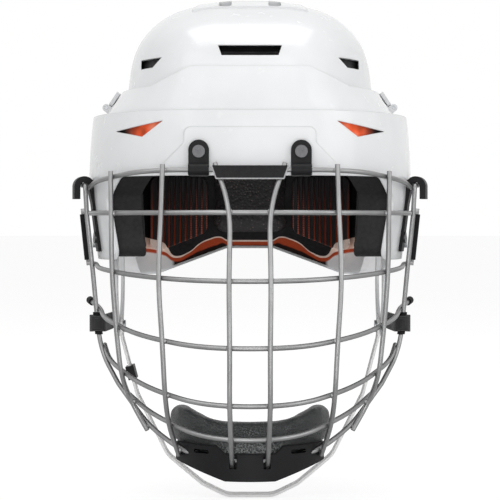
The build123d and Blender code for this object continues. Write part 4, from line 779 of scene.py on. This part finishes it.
def round_topped(name):
    """A clip cut to a round top as wide as the clip."""
    low, high = (Vector(corner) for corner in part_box(name))
    half = (high.x - low.x) / 2
    middle = (low + high) / 2
    deep = high.y - low.y + half
    bm = bmesh.new()
    bmesh.ops.create_cone(bm, cap_ends=True, segments=CLIP_SEGMENTS, radius1=half, radius2=half, depth=deep)
    bmesh.ops.rotate(bm, verts=bm.verts, matrix=Matrix.Rotation(math.pi / 2, 3, "X"))
    bmesh.ops.translate(bm, verts=bm.verts, vec=(middle.x, middle.y, high.z - half))
    foot = bmesh.ops.create_cube(bm, size=1.0)["verts"]
    bmesh.ops.scale(bm, verts=foot, vec=(half * 2, deep, half))
    bmesh.ops.translate(bm, verts=foot, vec=(middle.x, middle.y, low.z))
    bmesh.ops.delete(bm, geom=bm.edges[:] + bm.faces[:], context="EDGES_FACES")
    hull = bmesh.ops.convex_hull(bm, input=bm.verts[:])
    bmesh.ops.delete(bm, geom=hull["geom_interior"], context="VERTS")
    cutter = placed("cutter", mesh_from(bm, "cutter", smooth=False))
    mesh = mesh_from(node_copy(name), name + "_round", smooth=False)
    mesh = applied(mesh, "BOOLEAN", {"operation": "INTERSECT", "solver": "EXACT", "object": cutter})
    bpy.data.objects.remove(cutter)
    return mesh


def dense_points(name):
    """Points along a node's edges, no further apart than the weld beads need."""
    mesh = NODES[name].data
    points = []
    for edge in mesh.edges:
        start, end = (mesh.vertices[i].co for i in edge.vertices)
        count = max(1, int((end - start).length / POINT_SPACING))
        points.extend(start.lerp(end, i / count) for i in range(count))
    return points


def crossings(first, second):
    """Places where two nodes' wires touch: the first's closest point to the second, one for each touch."""
    mesh = NODES[second].data
    tree = BVHTree.FromPolygons(
        [point.co for point in mesh.vertices], [tuple(polygon.vertices) for polygon in mesh.polygons]
    )
    found = []
    for point in dense_points(first):
        near, _, _, distance = tree.find_nearest(point, WELD_REACH)
        if near:
            found.append(((point + near) / 2, distance))
    found.sort(key=lambda pair: pair[1])
    places = []
    for place, _ in found:
        if all((place - other).length > WELD_SPACING for other in places):
            places.append(place)
    return places


# Operators


class HELMET_OT_shell(bpy.types.Operator):
    """Finish the two shells, the ear guards, the latches, the screws and the black fittings"""

    bl_idname = "helmet.shell"
    bl_label = "Shell and fittings"

    def execute(self, context):
        look = context.scene.helmet_shell
        shell = moulded_plastic(
            "shell_white", tuple(look.shell_colour), roughness=look.shell_roughness, coat=0.25,
            rounding=look.edge_rounding, grain_scale=700.0, grain_depth=0.00004,
        )
        guard = moulded_plastic(
            "guard_white", tuple(look.guard_colour), roughness=0.38, coat=0.1,
            rounding=0.0005, grain_scale=900.0, grain_depth=0.00006,
        )
        black = moulded_plastic(
            "fitting_black", FITTING_BLACK, roughness=0.44, coat=0.0,
            rounding=0.0006, grain_scale=1100.0, grain_depth=0.00008, specular=0.18,
        )
        rubber = moulded_plastic(
            "sleeve_black", SLEEVE_BLACK, roughness=0.6, coat=0.0,
            rounding=0.0003, grain_scale=1300.0, grain_depth=0.0001, specular=0.15,
        )
        dress(SHELL_NODES, shell)
        dress(GUARD_NODES + LATCH_NODES, guard)
        dress(BLACK_NODES, black)
        dress(RUBBER_NODES, rubber)
        dress(STEEL_NODES, turned_steel("screw_steel", SCREW_STEEL))
        dress(DARK_SCREW_NODES, turned_steel("screw_black", SCREW_BLACK))
        dress(("nameplate",), edged_plate("plate_black"))
        for name in CLIP_NODES:
            piece = new_piece(name + "_round", round_topped(name), black, "front")
            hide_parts(name)
        return {"FINISHED"}


class HELMET_OT_foam(bpy.types.Operator):
    """Finish the foam blocks and make the padded pieces"""

    bl_idname = "helmet.foam"
    bl_label = "Foam and pads"

    def execute(self, context):
        look = context.scene.helmet_foam
        inner = tuple(look.foam_colour)
        glow = tuple(look.glow_colour)
        dress(("front_liner",), bead_foam("front_foam", inner, glow, lip=False))
        dress(("rear_liner",), bead_foam("rear_foam", inner, glow, lip=True))
        knit = knitted_pad("pad_knit", tuple(look.pad_colour))
        foam = smooth_foam("temple_foam", TEMPLE_GREY)
        mesh = mesh_face("rear_mesh")
        pads = (
            ("forehead_pad", "front", knit),
            ("front_crown_pad", "front", knit),
            ("rear_crown_pad", "rear", knit),
            ("rear_centre_pad", "rear", mesh),
            ("temple_pad_left", "front", foam),
            ("temple_pad_right", "front", foam),
        )
        for name, body, material in pads:
            piece = new_piece(name + "_soft", soft_copy(name, look, PAD_SHRINK), material, body)
            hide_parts(name)
        ribbed = ribbed_foam("occipital_ribs", RIB_BLACK, glow)
        for name in ("occipital_pad_left", "occipital_pad_right"):
            mesh = mesh_from(remeshed(name, RIB_VOXEL), name + "_soft")
            piece = new_piece(name + "_soft", mesh, ribbed, "rear")
            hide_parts(name)
        return {"FINISHED"}


class HELMET_OT_cage(bpy.types.Operator):
    """Finish the wires and lay a weld bead in each crossing"""

    bl_idname = "helmet.cage"
    bl_label = "Cage"

    def execute(self, context):
        look = context.scene.helmet_cage
        wire = satin_wire("wire_satin", tuple(look.wire_colour))
        dress(WIRE_NODES, wire)
        bm = bmesh.new()
        for upright in UPRIGHT_NODES:
            for other in ROW_NODES + ("cage_rim",):
                for place in crossings(upright, other):
                    bead = bmesh.ops.create_icosphere(bm, subdivisions=3, radius=look.weld_radius)["verts"]
                    bmesh.ops.scale(bm, vec=WELD_STRETCH, verts=bead)
                    bmesh.ops.translate(bm, vec=place, verts=bead)
        new_piece("weld_beads", mesh_from(bm, "weld_beads"), wire, "cage")
        return {"FINISHED"}


class HELMET_OT_chin(bpy.types.Operator):
    """Make the grained chin cushion"""

    bl_idname = "helmet.chin"
    bl_label = "Chin cup"

    def execute(self, context):
        look = context.scene.helmet_foam
        mesh = soft_copy("chin_cup_foam", look, CUSHION_SHRINK)
        piece = new_piece("chin_cushion", mesh, grained_leather("chin_grain"), "cage")
        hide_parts("chin_cup_foam")
        return {"FINISHED"}


class HELMET_OT_straps(bpy.types.Operator):
    """Make the woven straps with their turned edges"""

    bl_idname = "helmet.straps"
    bl_label = "Straps"

    def execute(self, context):
        white = webbing("webbing_white", WEBBING_WHITE, run="Z", depth=0.93)
        black = webbing("webbing_black", WEBBING_BLACK, run="Y", depth=0.5)
        straps = (
            ("chin_strap", "chin_strap", white, "white_webbing"),
            ("cage_strap_left", "cage_strap_left", black, "black_webbing"),
            ("cage_strap_right", "cage_strap_right", black, "black_webbing"),
        )
        for name, body, material, slot in straps:
            bm = node_copy(name)
            bmesh.ops.dissolve_limit(bm, angle_limit=STRAP_FLAT_ANGLE, verts=bm.verts, edges=bm.edges)
            sharp = [
                edge for edge in bm.edges
                if len(edge.link_faces) == 2 and edge.calc_face_angle(0.0) > STRAP_EDGE_ANGLE
            ]
            bmesh.ops.bevel(
                bm, geom=sharp, offset=STRAP_TURN, offset_type="OFFSET", segments=2, profile=0.5,
                affect="EDGES", material=-1, clamp_overlap=True,
            )
            mesh = mesh_from(bm, name + "_woven", smooth=False)
            piece = new_piece(name + "_woven", mesh, material, body)
            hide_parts(name)
        return {"FINISHED"}


class HELMET_OT_stage(bpy.types.Operator):
    """Set the floor, the lights, the world and the camera"""

    bl_idname = "helmet.stage"
    bl_label = "Stage"

    def execute(self, context):
        scene = context.scene
        look = scene.helmet_stage
        low = CAD_BOX[0][2]
        bm = bmesh.new()
        bmesh.ops.create_grid(bm, x_segments=1, y_segments=1, size=FLOOR_SIZE)
        bmesh.ops.translate(bm, vec=(0.0, 0.0, low - FLOOR_GAP), verts=bm.verts)
        mesh = mesh_from(bm, "floor", smooth=False)
        mesh.materials.append(floor_material())
        floor = placed("floor", mesh)
        sky(scene)
        for name, place, target, size, power in LAMPS:
            lamp(name, place, target, size, power)
        camera_data = bpy.data.cameras.new("camera")
        camera_data.lens = look.lens
        camera_data.sensor_width = SENSOR_WIDTH
        camera = placed("camera", camera_data)
        camera.location = (0.0, -look.camera_distance, look.camera_height)
        camera.rotation_euler = (math.pi / 2 - look.camera_pitch, 0.0, 0.0)
        scene.camera = camera
        scene.view_settings.view_transform = "Standard"
        return {"FINISHED"}


def sky(scene):
    """White for the camera and for reflections, softer as a light."""
    world = bpy.data.worlds.new("white_room")
    scene.world = world
    world.use_nodes = True
    tree = world.node_tree
    back = next(node for node in tree.nodes if node.type == "BACKGROUND")
    back.inputs["Color"].default_value = (1.0, 1.0, 1.0, 1.0)
    path = tree.nodes.new("ShaderNodeLightPath")
    seen = combine(tree, "MAXIMUM", path.outputs["Is Camera Ray"], path.outputs["Is Glossy Ray"])
    seen = combine(tree, "MAXIMUM", seen, path.outputs["Is Transmission Ray"])
    tree.links.new(spread(tree, seen, low=WORLD_LIGHT, high=1.0), back.inputs["Strength"])


def lamp(name, place, target, size, power):
    """Soft square lamp that points at a target."""
    data = bpy.data.lights.new(name, "AREA")
    data.size = size
    data.energy = power
    made = placed(name, data)
    made.location = place
    made.rotation_euler = (Vector(target) - Vector(place)).to_track_quat("-Z", "Y").to_euler()


class HELMET_PT_panel(bpy.types.Panel):
    """Lists the helmet's steps and settings"""

    bl_idname = "HELMET_PT_panel"
    bl_label = "Helmet"
    bl_space_type = "VIEW_3D"
    bl_region_type = "UI"
    bl_category = "Helmet"

    def draw(self, context):
        for maker in OPERATORS:
            self.layout.operator(maker.bl_idname)
        for group in SETTINGS:
            settings = getattr(context.scene, group)
            box = self.layout.box()
            for name in settings.__annotations__:
                box.prop(settings, name)


SETTINGS = {
    "helmet_shell": HelmetShellSettings,
    "helmet_foam": HelmetFoamSettings,
    "helmet_cage": HelmetCageSettings,
    "helmet_stage": HelmetStageSettings,
}
OPERATORS = (
    HELMET_OT_stage,
    HELMET_OT_shell,
    HELMET_OT_foam,
    HELMET_OT_cage,
    HELMET_OT_chin,
    HELMET_OT_straps,
)


def register():
    """Register the classes and attach the settings to the scene."""
    for made in (*SETTINGS.values(), *OPERATORS, HELMET_PT_panel):
        bpy.utils.register_class(made)
    for name, made in SETTINGS.items():
        setattr(bpy.types.Scene, name, bpy.props.PointerProperty(type=made))


def unregister():
    """Remove the settings and the classes."""
    for name in SETTINGS:
        delattr(bpy.types.Scene, name)
    for made in (HELMET_PT_panel, *reversed(OPERATORS), *reversed(list(SETTINGS.values()))):
        bpy.utils.unregister_class(made)


def main():
    """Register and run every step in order."""
    register()
    bpy.ops.helmet.stage()
    bpy.ops.helmet.shell()
    bpy.ops.helmet.foam()
    bpy.ops.helmet.cage()
    bpy.ops.helmet.chin()
    bpy.ops.helmet.straps()


if __name__ == "__main__":
    main()
